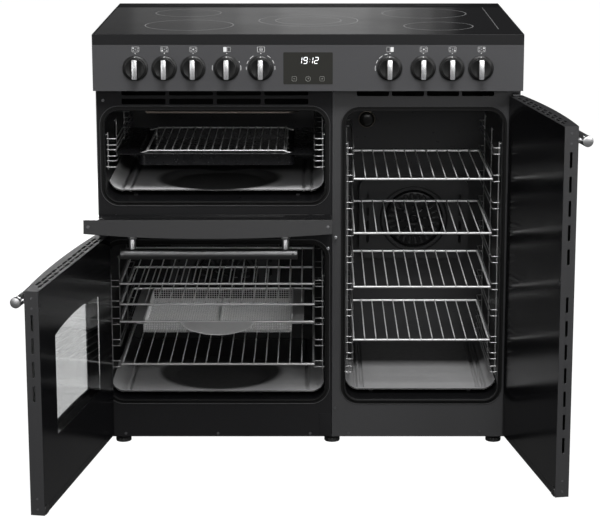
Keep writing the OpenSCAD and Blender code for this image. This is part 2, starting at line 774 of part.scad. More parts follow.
// A raised wire grid standing in the pan on four bent feet
module grill_trivet() {
  r = 2;
  top_z = grill_levels[0] + 3;
  pan_floor = grill_levels[0] - frame_wire / 2 + 2 - pan_deep + 2;
  half = 150;
  y0 = shelf_y + 20;
  y1 = y0 + 290;
  wires = 17;
  pitch = 2 * half / (wires + 1);
  color("#c8cacc") {
    for (y = [y0, y1]) {
      rod_x(grill_mouth[0] - half, grill_mouth[0] + half, y, top_z, r);
      for (s = [-1, 1]) rod_z(grill_mouth[0] + s * half, y, pan_floor, top_z + r, r);
    }
    for (s = [-1, 1]) rod_y(grill_mouth[0] + s * half, y0, y1, top_z, r);
    for (i = [1:wires]) rod_y(grill_mouth[0] - half + i * pitch, y0, y1, top_z + r - 0.5, thin_wire / 2);
  }
}

placed() left_side_panel();
placed() right_side_panel();
placed() back_panel();
placed() base_plate();
placed() left_front_plate();
placed() right_front_plate();
placed() hob_trim();
placed() hob_glass();
placed() hob_elements();
placed() rear_vent_rail();
placed() control_panel();
placed() clock_window();
placed() knob_switches();
placed() grill_cavity();
placed() left_cavity();
placed() right_cavity();
placed() grill_element();
placed() ring_elements();
placed() fan_covers();
placed() fan_motors();
placed() oven_lamps();
placed() shelf_ladders();
placed() mouth_seals();
placed() levelling_feet();
placed() door_catches();
placed() hinge_brackets();
placed() screws();
placed() terminal_cover();
placed() grill_door_tray();
placed() grill_door_glass();
placed() grill_door_window();
placed() grill_door_handle();
placed() left_door_tray();
placed() left_door_glass();
placed() left_door_window();
placed() left_door_handle();
placed() right_door_tray();
placed() right_door_glass();
placed() right_door_handle();
placed() knob_1();
placed() knob_2();
placed() knob_3();
placed() knob_4();
placed() knob_5();
placed() knob_6();
placed() knob_7();
placed() knob_8();
placed() knob_9();
placed() left_shelf_top();
placed() left_shelf_middle();
placed() left_shelf_bottom();
placed() roasting_basket();
placed() right_shelf_1();
placed() right_shelf_2();
placed() right_shelf_3();
placed() right_shelf_4();
placed() grill_pan();
placed() grill_trivet();
placed() left_fan();
placed() right_fan();
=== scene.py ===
# %% [markdown]
# # A range cooker with its doors open
#
# A free-standing range cooker, 900 mm wide. A black ceramic hob lies on top, with a row of knobs and a
# clock below it. Three ovens open at the front: a shallow one with a grill, a wide one under it, and a
# tall one on the right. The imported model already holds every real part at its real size. This script
# gives each surface its finish, and builds the details that a plain solid cannot show.

# %% Load the frame
import json
import math

import bmesh
import bpy
from mathutils import Matrix, Vector


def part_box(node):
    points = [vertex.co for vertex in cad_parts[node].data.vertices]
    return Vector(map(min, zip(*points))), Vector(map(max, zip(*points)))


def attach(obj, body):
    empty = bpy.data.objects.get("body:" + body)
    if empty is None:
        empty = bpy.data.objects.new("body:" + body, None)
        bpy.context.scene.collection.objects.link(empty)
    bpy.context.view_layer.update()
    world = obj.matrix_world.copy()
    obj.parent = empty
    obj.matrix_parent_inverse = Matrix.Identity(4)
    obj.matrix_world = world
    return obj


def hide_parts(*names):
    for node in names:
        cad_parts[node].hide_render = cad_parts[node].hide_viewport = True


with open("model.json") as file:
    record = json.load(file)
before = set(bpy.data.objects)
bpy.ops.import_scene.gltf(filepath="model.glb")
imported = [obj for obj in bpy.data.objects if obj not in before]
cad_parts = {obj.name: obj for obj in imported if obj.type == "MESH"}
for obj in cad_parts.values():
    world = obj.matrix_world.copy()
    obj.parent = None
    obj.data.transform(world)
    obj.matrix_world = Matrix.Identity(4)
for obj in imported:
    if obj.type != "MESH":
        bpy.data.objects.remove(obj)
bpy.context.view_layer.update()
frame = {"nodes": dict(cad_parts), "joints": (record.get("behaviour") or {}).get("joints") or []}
nodes = frame["nodes"]

# %% [markdown]
# ## Places and sizes
#
# All sizes below are millimetres on the cooker itself: x from its middle, y back from the face of the
# control panel, z up from the floor. The doors are described closed, because that is how they are made,
# and are then swung open about their hinge.

# %% Cooker coordinates
MM = 0.001
LEFT_X, RIGHT_X = -198.0, 246.0  # the middles of the left ovens and of the right one
panel_low, panel_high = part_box("control_panel")
mid_x = (panel_low.x + panel_high.x) / 2
face_y = panel_low.y


def at(x, y, z):
    """The point of the frame at these millimetres on the cooker."""
    return Vector((mid_x + x * MM, face_y + y * MM, z * MM))


def measured(point):
    """The millimetres on the cooker of this point of the frame."""
    return [(point[0] - mid_x) / MM, (point[1] - face_y) / MM, point[2] / MM]


def span(node):
    """A node's lowest and highest corner, in millimetres on the cooker."""
    return [measured(corner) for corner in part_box(node)]


# %% Doors, closed and open
hinges = {joint["child"]: joint for joint in frame["joints"]}


def swing(body):
    """The turn that takes a closed door to the open place it rests in."""
    hinge = hinges[body]
    pin = Matrix.Translation(hinge["pos_m"])
    turn = Matrix.Rotation(math.radians(-hinge["range_deg"][0]), 4, Vector(hinge["axis"]))
    return pin @ turn @ pin.inverted()


def closed_span(node, body):
    """A door node's corners with the door shut, in millimetres on the cooker."""
    shut = swing(body).inverted()
    points = [shut @ v.co for v in nodes[node].data.vertices]
    return [measured([limit(p[i] for p in points) for i in range(3)]) for limit in (min, max)]


DOOR_T = 28.0  # how thick a door is at its edges
doors = {body: closed_span(body + "_tray", body) for body in ("grill_door", "left_door", "right_door")}
for body, (low, high) in doors.items():
    print(body, [round(v) for v in low], [round(v) for v in high])

# %% [markdown]
# ## Shader arithmetic
#
# A finish is a small sum over the surface: a ring is where the distance from a centre is near a radius,
# a brushed line is noise stretched along one axis. `Val` lets such sums be written as plain arithmetic,
# and `Finish` makes the nodes.


# %% Arithmetic on sockets
class Val:
    """A socket of a material that can be used in plain arithmetic."""

    def __init__(self, finish, socket):
        self.finish = finish
        self.socket = socket

    def math(self, operation, *values):
        inputs = dict(enumerate(values))
        return self.finish.node("ShaderNodeMath", {"operation": operation}, inputs)["Value"]

    def __add__(self, other):
        return self.math("ADD", self, other)

    def __sub__(self, other):
        return self.math("SUBTRACT", self, other)

    def __rsub__(self, other):
        return self.math("SUBTRACT", other, self)

    def __mul__(self, other):
        return self.math("MULTIPLY", self, other)

    def __pow__(self, other):
        return self.math("POWER", self, other)

    def __abs__(self):
        return self.math("ABSOLUTE", self)

    def within(self, reach, soft):
        """1 where the size of the value is under reach, fading to 0 over soft."""
        return self.math("MULTIPLY_ADD", abs(self) - reach, -1.0 / soft, 1.0).clamp()

    def clamp(self):
        return self.math("MINIMUM", self.math("MAXIMUM", self, 0.0), 1.0)

    def larger(self, other):
        return self.math("MAXIMUM", self, other)


# %% A material and its nodes
class Finish:
    """One procedural material: a Principled shader and the nodes that feed it."""

    def __init__(self, name, colour, roughness, metallic=0.0, shine=0.5, **constants):
        self.material = bpy.data.materials.new(name)
        self.material.use_nodes = True
        self.tree = self.material.node_tree
        self.shader = self.tree.nodes["Principled BSDF"]
        self.colour, self.roughness = colour, roughness
        self.set(Base_Color=(*colour, 1.0), Roughness=roughness, Metallic=metallic)
        self.set(Specular_IOR_Level=shine, **constants)

    def put(self, socket, value):
        if isinstance(value, Val):
            self.tree.links.new(value.socket, socket)
        else:
            socket.default_value = value

    def node(self, kind, settings=None, inputs=None):
        """Makes a node, and returns its outputs by name."""
        made = self.tree.nodes.new(kind)
        for key, value in (settings or {}).items():
            setattr(made, key, value)
        by_name = {socket.identifier: socket for socket in made.inputs}
        for key, value in (inputs or {}).items():
            self.put(made.inputs[key] if isinstance(key, int) else by_name[key], value)
        return {socket.identifier: Val(self, socket) for socket in made.outputs}

    def set(self, **inputs):
        """Feeds inputs of the shader, each named with _ for a space."""
        for key, value in inputs.items():
            self.put(self.shader.inputs[key.replace("_", " ")], value)

    def fed(self, key):
        """What feeds an input so far, to be mixed further."""
        return Val(self, self.shader.inputs[key].links[0].from_socket)

    def place(self, scale=(1.0, 1.0, 1.0)):
        """The surface point in metres, stretched by scale."""
        spot = self.node("ShaderNodeTexCoord")["Object"]
        return self.node("ShaderNodeVectorMath", {"operation": "MULTIPLY"}, {0: spot, 1: scale})["Vector"]

    def axes(self):
        parts = self.node("ShaderNodeSeparateXYZ", inputs={0: self.place()})
        return parts["X"], parts["Y"], parts["Z"]

    def noise(self, scale, detail=2.0, stretch=(1.0, 1.0, 1.0)):
        inputs = {"Vector": self.place(stretch), "Scale": scale, "Detail": detail}
        return self.node("ShaderNodeTexNoise", inputs=inputs)["Fac"]

    def specks(self, scale):
        """Distance to the nearest of many scattered points."""
        inputs = {"Vector": self.place(), "Scale": scale}
        return self.node("ShaderNodeTexVoronoi", inputs=inputs)["Distance"]

    def blend(self, share, low, high):
        """Mixes two colours, each plain or from a socket."""
        low, high = [mix if isinstance(mix, Val) else (*mix, 1.0) for mix in (low, high)]
        inputs = {"Factor_Float": share, "A_Color": low, "B_Color": high}
        return self.node("ShaderNodeMix", {"data_type": "RGBA"}, inputs)["Result_Color"]

    def uneven(self, noise, rough=0.0, shades=(), bump=0.0):
        """Lets a noise vary the roughness, the shade of the colour and the height in millimetres."""
        if rough:
            self.set(Roughness=noise * rough + (self.roughness - rough / 2))
        if shades:
            dark, light = [tuple(channel * times for channel in self.colour) for times in shades]
            self.set(Base_Color=self.blend(noise, dark, light))
        if bump:
            inputs = {"Height": noise, "Strength": 1.0, "Distance": bump * MM}
            self.set(Normal=self.node("ShaderNodeBump", inputs=inputs)["Normal"])
        return self


def grey(level, blue=0.0):
    """A grey, made a little bluer by the second value."""
    return (level, level, level + blue)


# %% [markdown]
# ## Finishes
#
# The cooker is anthracite: powder-coated sheet for the panel and doors, a darker coat on the plates
# between the ovens, and vitreous enamel inside. The left plate is painted darker than the right one:
# painted shade on the left, painted light on the right. Powder coat has a faint orange-peel texture.
# Enamel is fired glass, so it is glossier, with tiny pale flecks.


# %% Coats and enamels
def powder_coat(name, colour, roughness, **constants):
    coat = Finish(name, colour, roughness, **constants)
    coat.uneven(coat.noise(3.0, 3.0), shades=(0.93, 1.07))
    return coat.uneven(coat.noise(900.0, 1.0), rough=0.10, bump=0.06)


def enamel(name, colour, roughness, fleck, **constants):
    coat = Finish(name, colour, roughness, **constants)
    coat.uneven(coat.noise(14.0, 4.0), shades=(0.85, 1.15))
    flecks = coat.specks(420.0).within(0.10, 0.05)
    coat.set(Base_Color=coat.blend(flecks * 0.5, coat.fed("Base Color"), fleck))
    return coat.uneven(coat.noise(90.0, 2.0), rough=0.12, bump=0.10)


panel_coat = powder_coat("panel_coat", grey(0.034, 0.002), 0.48, shine=0.3)
trim_coat = powder_coat("trim_coat", grey(0.005, 0.0005), 0.40, shine=0.2)
# The two front plates share one paint: the left is darker, a painted shade; the right lighter, a painted
# light
left_coat_painted_shade = powder_coat("left_coat_painted_shade", grey(0.008, 0.0005), 0.60, shine=0.08)
right_coat_painted_light = powder_coat("right_coat_painted_light", grey(0.030, 0.001), 0.50, shine=0.2)
door_coat = powder_coat("door_coat", grey(0.024, 0.001), 0.44, shine=0.3)
grill_coat = powder_coat("grill_coat", grey(0.014, 0.0005), 0.46, shine=0.25)
body_coat = powder_coat("body_coat", grey(0.020, 0.001), 0.45)
pan_enamel = enamel("pan_enamel", grey(0.004, 0.0005), 0.28, grey(0.02), shine=0.2)

# %% [markdown]
# The oven liners are enamelled inside only. From their tops up, where the vents in the front let you
# look in, the enamel is painted a dull black, a painted shade. The back wall of the tall oven is painted
# lighter than its sides, a painted light. The floors are painted a lighter grey, a painted light. Their
# front edge is painted black, and they are painted dark in the dish over the lower element and towards the
# back: painted shade.

# %% Oven enamels
LINER_TOP, LINER_BACK = 737.6, 455.0  # just under the liners' tops, just before their back walls
# Painted shade: the black above the liners' tops, and the dark grey the floors turn to
TOP_PAINTED_SHADE, PAINTED_SHADE_GREY = grey(0.002), grey(0.008)


def liner_enamel(name, colour, back):
    """Enamel inside a liner, with its back wall in another colour, a painted light, and painted shade, a dull
    black, from its top up.
    """
    coat = enamel(name, colour, 0.30, grey(0.03), shine=0.2)
    _, y, z = coat.axes()
    inside = ((at(0, 0, LINER_TOP).z - z) * 20000.0).clamp()
    # Painted light on the back wall, and painted shade above the liner's top
    far = ((y - at(0, LINER_BACK, 0).y) * 200.0).clamp()
    back_painted_light = coat.blend(far, coat.fed("Base Color"), back)
    coat.set(Base_Color=coat.blend(inside, TOP_PAINTED_SHADE, back_painted_light))
    coat.set(Roughness=1.0 - inside * (1.0 - coat.fed("Roughness")))
    return coat


# The second grey of each is its back wall; the tall oven's lighter one is a painted light
oven_enamel = liner_enamel("oven_enamel", grey(0.004, 0.0005), grey(0.006, 0.0005))
tall_enamel = liner_enamel("tall_enamel", grey(0.005, 0.0005), grey(0.032, 0.001))
# The fan covers are painted lighter than the liners: painted light
cover_enamel_painted_light = enamel("cover_enamel_painted_light", grey(0.024, 0.001), 0.34, grey(0.04), shine=0.3)


def floor_enamel_painted_light(name, level, front, painted_shade_from, dish=None):
    """The grey of an oven floor, a painted light, with painted shade: black on its front edge, dark in its
    dish and from a depth on.
    """
    coat = enamel(name, grey(level, level * 0.01), 0.34, grey(level * 1.2))
    across, depth, _ = coat.axes()
    # Painted shade: darker from a depth on, and in the dish
    painted_shade = ((depth - at(0, painted_shade_from, 0).y) * 18.0).clamp()
    if dish:
        middle, radius = at(dish[0], dish[1], 0), dish[2] * MM
        off = (across - middle.x) * (across - middle.x) + (depth - middle.y) * (depth - middle.y)
        painted_shade = painted_shade.larger(((1.0 - off * (1.0 / radius ** 2)) * 5.0).clamp() * 0.9)
    # Painted shade: the floor's front edge black
    edge = ((at(0, front + 2.0, 0).y - depth) * 1500.0).clamp()
    coat.set(Base_Color=coat.blend(edge, coat.blend(painted_shade, coat.fed("Base Color"), PAINTED_SHADE_GREY), grey(0.004)))
    return coat


# %% [markdown]
# Metal parts are either plated wire, which is bright and a little uneven along its length, or bar and
# sheet with a drawn or brushed grain. The grain is noise squeezed across one direction. The front bars of
# the shelves are darker than the rods behind them.


# %% Metals
def plated(name, colour, roughness, metallic=1.0):
    plate = Finish(name, colour, roughness, metallic)
    return plate.uneven(plate.noise(60.0, 2.0), rough=0.14, shades=(0.88, 1.0))


def brushed(name, colour, roughness, stretch):
    metal = Finish(name, colour, roughness, metallic=1.0)
    return metal.uneven(metal.noise(160.0, 3.0, stretch), rough=0.24, shades=(0.82, 1.0), bump=0.05)


SHELF_FRONT = 66.0  # the shelves' front bars end here
wire_chrome = plated("wire_chrome", grey(0.95), 0.42, 0.45)
behind = ((wire_chrome.axes()[1] - at(0, SHELF_FRONT, 0).y) * 60.0).clamp()
wire_chrome.set(Base_Color=wire_chrome.blend(behind, grey(0.42), wire_chrome.fed("Base Color")))
trivet_chrome = plated("trivet_chrome", grey(0.42), 0.42, 0.60)
runner_chrome = plated("runner_chrome", grey(0.30), 0.36, 0.75)
bright_steel = plated("bright_steel", (0.66, 0.67, 0.68), 0.30)
dark_steel = plated("dark_steel", grey(0.075, 0.003), 0.40, 0.6)
handle_steel = brushed("handle_steel", grey(0.52, 0.005), 0.32, (1.0, 1.0, 18.0))
# The grill door's bar is the handles' steel painted darker: painted shade
grill_bar_steel_painted_shade = brushed("grill_bar_steel_painted_shade", grey(0.12, 0.002), 0.36, (1.0, 1.0, 18.0))
grip_steel = plated("grip_steel", grey(0.34), 0.45, 0.4)
insert_steel = brushed("insert_steel", grey(0.82, 0.01), 0.30, (14.0, 1.0, 0.6))
zinc_sheet = brushed("zinc_sheet", (0.42, 0.43, 0.44), 0.48, (0.4, 0.4, 6.0))
fan_metal = brushed("fan_metal", grey(0.55, 0.01), 0.40, (3.0, 0.5, 3.0))
burnt_steel = plated("burnt_steel", (0.16, 0.14, 0.12), 0.45)

# %% [markdown]
# The hob is one sheet of black ceramic glass. Its zones are fine grey rings printed on it, two of them
# for the large middle zone, and one thin line marks the right edge. Drawing them in the shader keeps the
# glass one smooth sheet, as it is.

# %% Printed hob glass
ZONES = [(-273, 398, 74), (-257, 163, 95), (0, 250, 109), (0, 250, 72), (262, 388, 95), (280, 146, 74)]
GLASS, PRINT = grey(0.004, 0.0005), grey(0.20)
line_middle, line_half = at(404.5, 299, 0), 208 * MM

hob_glass = Finish("hob_glass", GLASS, 0.10, IOR=1.52)
x, y, _ = hob_glass.axes()
marks = (x - line_middle.x).within(0.8 * MM, 0.4 * MM) * (y - line_middle.y).within(line_half, 0.4 * MM)
for zone_x, zone_y, radius in ZONES:
    centre = at(zone_x, zone_y, 0)
    across, along = x - centre.x, y - centre.y
    distance = (across * across + along * along) ** 0.5
    marks = marks.larger((distance - radius * MM).within(1.2 * MM, 0.6 * MM))
hob_glass.set(Base_Color=hob_glass.blend(marks, GLASS, PRINT))
hob_glass.set(Roughness=marks * 0.08 + hob_glass.noise(8.0, 3.0) * 0.05 + 0.16)
print(len(ZONES), "rings on the glass")


# %% [markdown]
# The doors are lined with black printed glass that mirrors the shelves. A wipe leaves faint smears, so
# its roughness is not quite even. The windows are clear glass with a slight grey cast.


# %% Other glass, plastic and rubber
def smeared(name, colour, roughness, **constants):
    glass = Finish(name, colour, roughness, **constants)
    return glass.uneven(glass.noise(5.0, 4.0, (1.0, 1.0, 2.5)), rough=0.06)


def moulded(name, colour, roughness, grain=1400.0, **constants):
    plastic = Finish(name, colour, roughness, **constants)
    return plastic.uneven(plastic.noise(grain, 1.0), rough=0.16, shades=(0.85, 1.15), bump=0.04)


door_black = smeared("door_black", grey(0.003, 0.0005), 0.17, IOR=1.42)
clock_glass = smeared("clock_glass", grey(0.020, -0.002), 0.14, IOR=1.50)
clear_glass = smeared("clear_glass", (0.95, 0.955, 0.955), 0.03, IOR=1.45, Transmission_Weight=1.0)
# The lamps' glass is painted near black: painted shade
lamp_glass = smeared("lamp_glass", grey(0.010, -0.001), 0.22, IOR=1.35)
knob_black = moulded("knob_black", grey(0.007), 0.36, shine=0.25)
black_plastic = moulded("black_plastic", grey(0.014), 0.42)
seal_rubber = moulded("seal_rubber", grey(0.004), 0.60, 600.0, shine=0.1)
brown_resin = moulded("brown_resin", (0.30, 0.22, 0.14), 0.55)
pale_ceramic = moulded("pale_ceramic", (0.55, 0.52, 0.46), 0.70, 500.0)


# %% Printed marks and lit digits
def ink(name, colour, glow=0.0):
    print_ink = Finish(name, colour, 0.55, Emission_Strength=glow)
    print_ink.set(Emission_Color=(*colour, 1.0))
    return print_ink.uneven(print_ink.noise(700.0, 2.0), shades=(0.86, 1.0))


white_ink = ink("white_ink", grey(0.55))
grey_ink = ink("grey_ink", grey(0.16, -0.01), 0.5)
digit_light = ink("digit_light", (0.90, 0.92, 0.95), 0.85)

# %% [markdown]
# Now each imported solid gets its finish, by name. A solid that a finer piece replaces later is dressed
# too, so that the model stays whole at every step.

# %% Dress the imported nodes
DRESS = [
    (panel_coat, "control_panel"),
    (trim_coat, "hob_trim rear_vent_rail"),
    (left_coat_painted_shade, "left_front_plate"),
    (right_coat_painted_light, "right_front_plate"),
    (grill_coat, "grill_door_tray"),
    (door_coat, "left_door_tray right_door_tray"),
    (body_coat, "left_side_panel right_side_panel base_plate"),
    (zinc_sheet, "back_panel fan_motors terminal_cover"),
    (hob_glass, "hob_glass"),
    (pale_ceramic, "hob_elements"),
    (door_black, "grill_door_glass left_door_glass right_door_glass"),
    (clear_glass, "grill_door_window left_door_window"),
    (clock_glass, "clock_window"),
    (oven_enamel, "grill_cavity left_cavity"),
    (tall_enamel, "right_cavity"),
    (cover_enamel_painted_light, "fan_covers"),
    (pan_enamel, "grill_pan"),
    (burnt_steel, "grill_element ring_elements"),
    (brown_resin, "knob_switches"),
    (lamp_glass, "oven_lamps"),
    (wire_chrome, "shelf_ladders left_shelf_top left_shelf_middle left_shelf_bottom roasting_basket"),
    (wire_chrome, "right_shelf_1 right_shelf_2 right_shelf_3 right_shelf_4 grill_trivet"),
    (bright_steel, "door_catches"),
    (dark_steel, "hinge_brackets screws"),
    (handle_steel, "grill_door_handle left_door_handle right_door_handle"),
    (knob_black, " ".join(f"knob_{i}" for i in range(1, 10))),
    (seal_rubber, "mouth_seals"),
    (black_plastic, "levelling_feet"),
    (fan_metal, "left_fan right_fan"),
]
for finish, names in DRESS:
    for name in names.split():
        nodes[name].data.materials.clear()
        nodes[name].data.materials.append(finish.material)
undressed = set(nodes) - {name for _, names in DRESS for name in names.split()}
print("nodes without a finish:", sorted(undressed))


# %% [markdown]
# ## Building pieces
#
# Three kinds of shape cover the details: a profile turned round an axis, an outline given a thickness,
# and a round wire bent along a path. Each piece is drawn in place, a door's piece on the closed door, and
# then rides on its body.


# %% Making and placing
def settle(thing, body, finish, replaced=()):
    """Dresses a piece, swings it if it is a door's, and lets it ride on its body."""
    if body in doors:
        thing.data.transform(swing(body))
    thing.data.materials.append(finish.material)
    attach(thing, body)
    if replaced:
        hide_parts(*replaced)
    print(thing.name, "rides on", body)


def added(name, data):
    """A new object in the scene that shows this data."""
    thing = bpy.data.objects.new(name, data)
    bpy.context.scene.collection.objects.link(thing)
    return thing


def mesh_piece(name, shape, smooth=True):
    """Turns a bmesh, in millimetres on the cooker, into an object in the frame."""
    bmesh.ops.recalc_face_normals(shape, faces=shape.faces)
    data = bpy.data.meshes.new(name)
    shape.to_mesh(data)
    shape.free()
    data.transform(Matrix.Translation(at(0, 0, 0)) @ Matrix.Scale(MM, 4))
    if smooth:
        data.shade_smooth()
        data.set_sharp_from_angle(angle=math.radians(35))
    return added(name, data)


def circle(steps):
    """The angles of a full turn in equal steps."""
    return [2 * math.pi * i / steps for i in range(steps)]


def polar(across, up, radius, angle):
    """The point this far from a centre, at this angle."""
    return (across + radius * math.cos(angle), up + radius * math.sin(angle))


def belt(shape, low, high):
    """Joins two closed rows of points with a belt of faces."""
    for i in range(len(low)):
        shape.faces.new((low[i - 1], low[i], high[i], high[i - 1]))


def turned(shape, profile, centre, axis, steps=48, closed=True):
    """Adds a profile of (radius, distance) points, turned round an axis through centre."""
    axis = Vector(axis).normalized()
    side = axis.orthogonal().normalized()
    other = axis.cross(side)
    spokes = [side * math.cos(angle) + other * math.sin(angle) for angle in circle(steps)]
    rings = []
    for radius, distance in profile:
        middle = Vector(centre) + axis * distance
        rings.append([shape.verts.new(middle + spoke * radius) for spoke in spokes])
    for low, high in zip(rings, rings[1:]):
        belt(shape, low, high)
    if closed:
        shape.faces.new(rings[0])
        shape.faces.new(rings[-1])


def plate(shape, outline, low, high, axis=1, bevel=0.0):
    """Adds an outline of (across, up) points, given a thickness from low to high along y (1) or z (2)."""

    def corner(a, b, depth):
        return (a, depth, b) if axis == 1 else (a, b, depth)

    front = [shape.verts.new(corner(a, b, low)) for a, b in outline]
    back = [shape.verts.new(corner(a, b, high)) for a, b in outline]
    ends = shape.faces.new(front), shape.faces.new(back)
    belt(shape, front, back)
    if bevel:
        rim = [edge for end in ends for edge in end.edges]
        bmesh.ops.bevel(shape, geom=rim, offset=bevel, segments=3, profile=0.6, affect="EDGES")


def round_rect(width, height, radius, steps=6, centre=(0.0, 0.0)):
    """The points of a rectangle with round corners."""
    points = []
    for quarter in range(4):
        across = centre[0] + (width / 2 - radius) * (1 if quarter in (0, 3) else -1)
        up = centre[1] + (height / 2 - radius) * (1 if quarter in (0, 1) else -1)
        for step in range(steps + 1):
            points.append(polar(across, up, radius, math.pi / 2 * (quarter + step / steps)))
    return points


def wires(name, paths, radius, closed=False):
    """Round wires along paths of points in millimetres on the cooker, as one curve object."""
    curve = bpy.data.curves.new(name, "CURVE")
    curve.dimensions = "3D"
    curve.bevel_depth = radius * MM
    curve.bevel_resolution = 3
    curve.use_fill_caps = True
    for path in paths:
        spline = curve.splines.new("POLY")
        spline.points.add(len(path) - 1)
        for point, place in zip(spline.points, path):
            point.co = (*at(*place), 1.0)
        spline.use_cyclic_u = closed
        spline.use_smooth = True
    return added(name, curve)


def bend(points, radius, steps=5):
    """The same path with its corners rounded."""
    points = [Vector(p) for p in points]
    path = [points[0]]
    for before, corner, after in zip(points, points[1:], points[2:]):
        reach = min(radius, (before - corner).length / 2, (after - corner).length / 2)
        start = corner + (before - corner).normalized() * reach
        end = corner + (after - corner).normalized() * reach
        for step in range(steps + 1):
            t = step / steps
            path.append(start.lerp(corner, t).lerp(corner.lerp(end, t), t))
    return path + [points[-1]]


# %% [markdown]
# ## Knobs
#
# Each knob is moulded in black: a skirt, a disc on it, and a grip across the disc with a brushed metal
# strip let into its front. The grip's ends follow the disc. All nine are alike, so one function makes
# them.

# %% Knobs
KNOB_Z = (panel_low.z + panel_high.z) / 2 / MM - 0.5
knob_xs = [(span(f"knob_{i}")[0][0] + span(f"knob_{i}")[1][0]) / 2 for i in range(1, 10)]
# The skirt's profile, as radius and distance in front of the panel
SKIRT = [(26.4, 0.6), (26.5, 2.6), (25.9, 4.0), (24.2, 5.0), (22.4, 5.6), (21.9, 8.4), (21.3, 9.6)]
SKIRT += [(19.8, 10.2), (18.6, 9.8), (17.5, 9.4)]
GRIP_R, GRIP_W, GRIP_IN, GRIP_OUT = 20.8, 13.0, 8.0, 25.4
STRIP_W, STRIP_H, STRIP_OUT = 9.8, 40.4, 27.0
DOT, DOT_IN, DOT_UP = [(1.1, 0.0), (1.1, 0.35), (0.6, 0.55)], 5.0, 23.9


def grip_outline(width, reach):
    """A bar across a disc: straight sides, and ends that follow the disc."""
    half = math.asin(width / 2 / reach)
    top = [polar(0, 0, reach, math.pi / 2 + half * (step / 4 - 1)) for step in range(9)]
    return top + [(-a, -b) for a, b in top]


def knob(number, x):
    body = f"knob_{number}_body"
    shape = bmesh.new()
    turned(shape, SKIRT, (x, 0, KNOB_Z), (0, -1, 0), 72)
    outline = [(x + a, KNOB_Z + b) for a, b in grip_outline(GRIP_W, GRIP_R)]
    plate(shape, outline, -GRIP_OUT, -GRIP_IN, bevel=1.3)
    settle(mesh_piece(f"knob_{number}_grip", shape), body, knob_black, [f"knob_{number}"])
    shape = bmesh.new()
    outline = round_rect(STRIP_W, STRIP_H, 1.6, 5, (x, KNOB_Z))
    plate(shape, outline, -STRIP_OUT, -GRIP_OUT + 1.0, bevel=0.5)
    settle(mesh_piece(f"knob_{number}_strip", shape), body, insert_steel)
    shape = bmesh.new()
    turned(shape, DOT, (x, -DOT_IN, KNOB_Z + DOT_UP), (0, -1, 0), 16)
    settle(mesh_piece(f"knob_{number}_dot", shape), body, white_ink)


for number, knob_x in enumerate(knob_xs, 1):
    knob(number, knob_x)
print("knobs at", [round(x) for x in knob_xs])

# %% [markdown]
# ## Marks on the panel
#
# Every knob has a small picture above it: the plan of the hob with one zone filled in, the two sides of
# the cooker with one oven filled in, or a fan. The oven knobs have printed scales too. All are printed in
# white, so each is a very thin plate on the panel's face.

# %% Pictures above the knobs
INK_T = 0.25
ICON_Z = KNOB_Z + 39.5
ICON_W, ICON_H = 15.5, 11.0


def printed(shape, outline, face=0.0):
    """Adds a filled print of this outline on a face."""
    plate(shape, outline, face - INK_T, face)


def printed_line(shape, outline, width, face=0.0):
    """Adds a printed line of this width along the inside of an outline."""
    middle = [sum(p[i] for p in outline) / len(outline) for i in (0, 1)]
    inner = []
    for a, b in outline:
        share = width / math.hypot(a - middle[0], b - middle[1])
        inner.append((a + (middle[0] - a) * share, b + (middle[1] - b) * share))
    for i in range(len(outline)):
        printed(shape, [outline[i - 1], outline[i], inner[i], inner[i - 1]], face)


def disc_points(x, z, radius, steps=14):
    return [polar(x, z, radius, angle) for angle in circle(steps)]


def hob_picture(shape, x, zone):
    """The hob's plan: five small rings in a frame, with the knob's own zone filled."""
    printed_line(shape, round_rect(ICON_W, ICON_H, 2.0, 3, (x, ICON_Z)), 0.5)
    spots = [(-4.6, -2.5), (-4.6, 2.5), (0.0, 0.0), (4.6, 2.5), (4.6, -2.5)]
    for index, (a, b) in enumerate(spots):
        if index == zone:
            printed(shape, disc_points(x + a, ICON_Z + b, 1.7))
        else:
            printed_line(shape, disc_points(x + a, ICON_Z + b, 1.3), 0.35)


def oven_picture(shape, x, filled):
    """The cooker's front: two ovens side by side, with one filled."""
    for index, a in enumerate((-4.0, 4.0)):
        box = round_rect(6.8, 10.0, 0.8, 2, (x + a, ICON_Z))
        if index == filled:
            printed(shape, box)
        else:
            printed_line(shape, box, 0.5)


def fan_picture(shape, x):
    printed_line(shape, round_rect(ICON_W, ICON_H, 0.8, 2, (x, ICON_Z)), 0.8)
    printed_line(shape, disc_points(x, ICON_Z, 3.4), 0.7)
    printed(shape, disc_points(x, ICON_Z, 1.0))


ZONE_OF_KNOB = {0: 1, 1: 0, 2: 2, 6: 2, 7: 4, 8: 3}
shape = bmesh.new()
for index, zone in ZONE_OF_KNOB.items():
    hob_picture(shape, knob_xs[index] + 1.0, zone)
oven_picture(shape, knob_xs[3] + 1.0, 0)
fan_picture(shape, knob_xs[4] + 1.0)
oven_picture(shape, knob_xs[5] + 1.0, 1)
for knob_x in knob_xs:
    printed(shape, disc_points(knob_x + 0.5, KNOB_Z + 31.0, 1.0))
settle(mesh_piece("panel_pictures", shape, smooth=False), "cabinet", white_ink)

# %% Scales round the three oven knobs
SCALE_R, SCALE_W = 29.4, 1.0


def scale_arc(shape, x, start, end):
    """One printed dash of a scale, between two angles clockwise from the top."""
    steps = max(2, int(abs(end - start) / 4))
    for step in range(steps):
        a, b = [math.radians(90 - start - (end - start) * s / steps) for s in (step, step + 1)]
        corners = [polar(x, KNOB_Z, SCALE_R, angle) for angle in (a, b)]
        printed(shape, corners + [polar(x, KNOB_Z, SCALE_R + SCALE_W, angle) for angle in (b, a)])


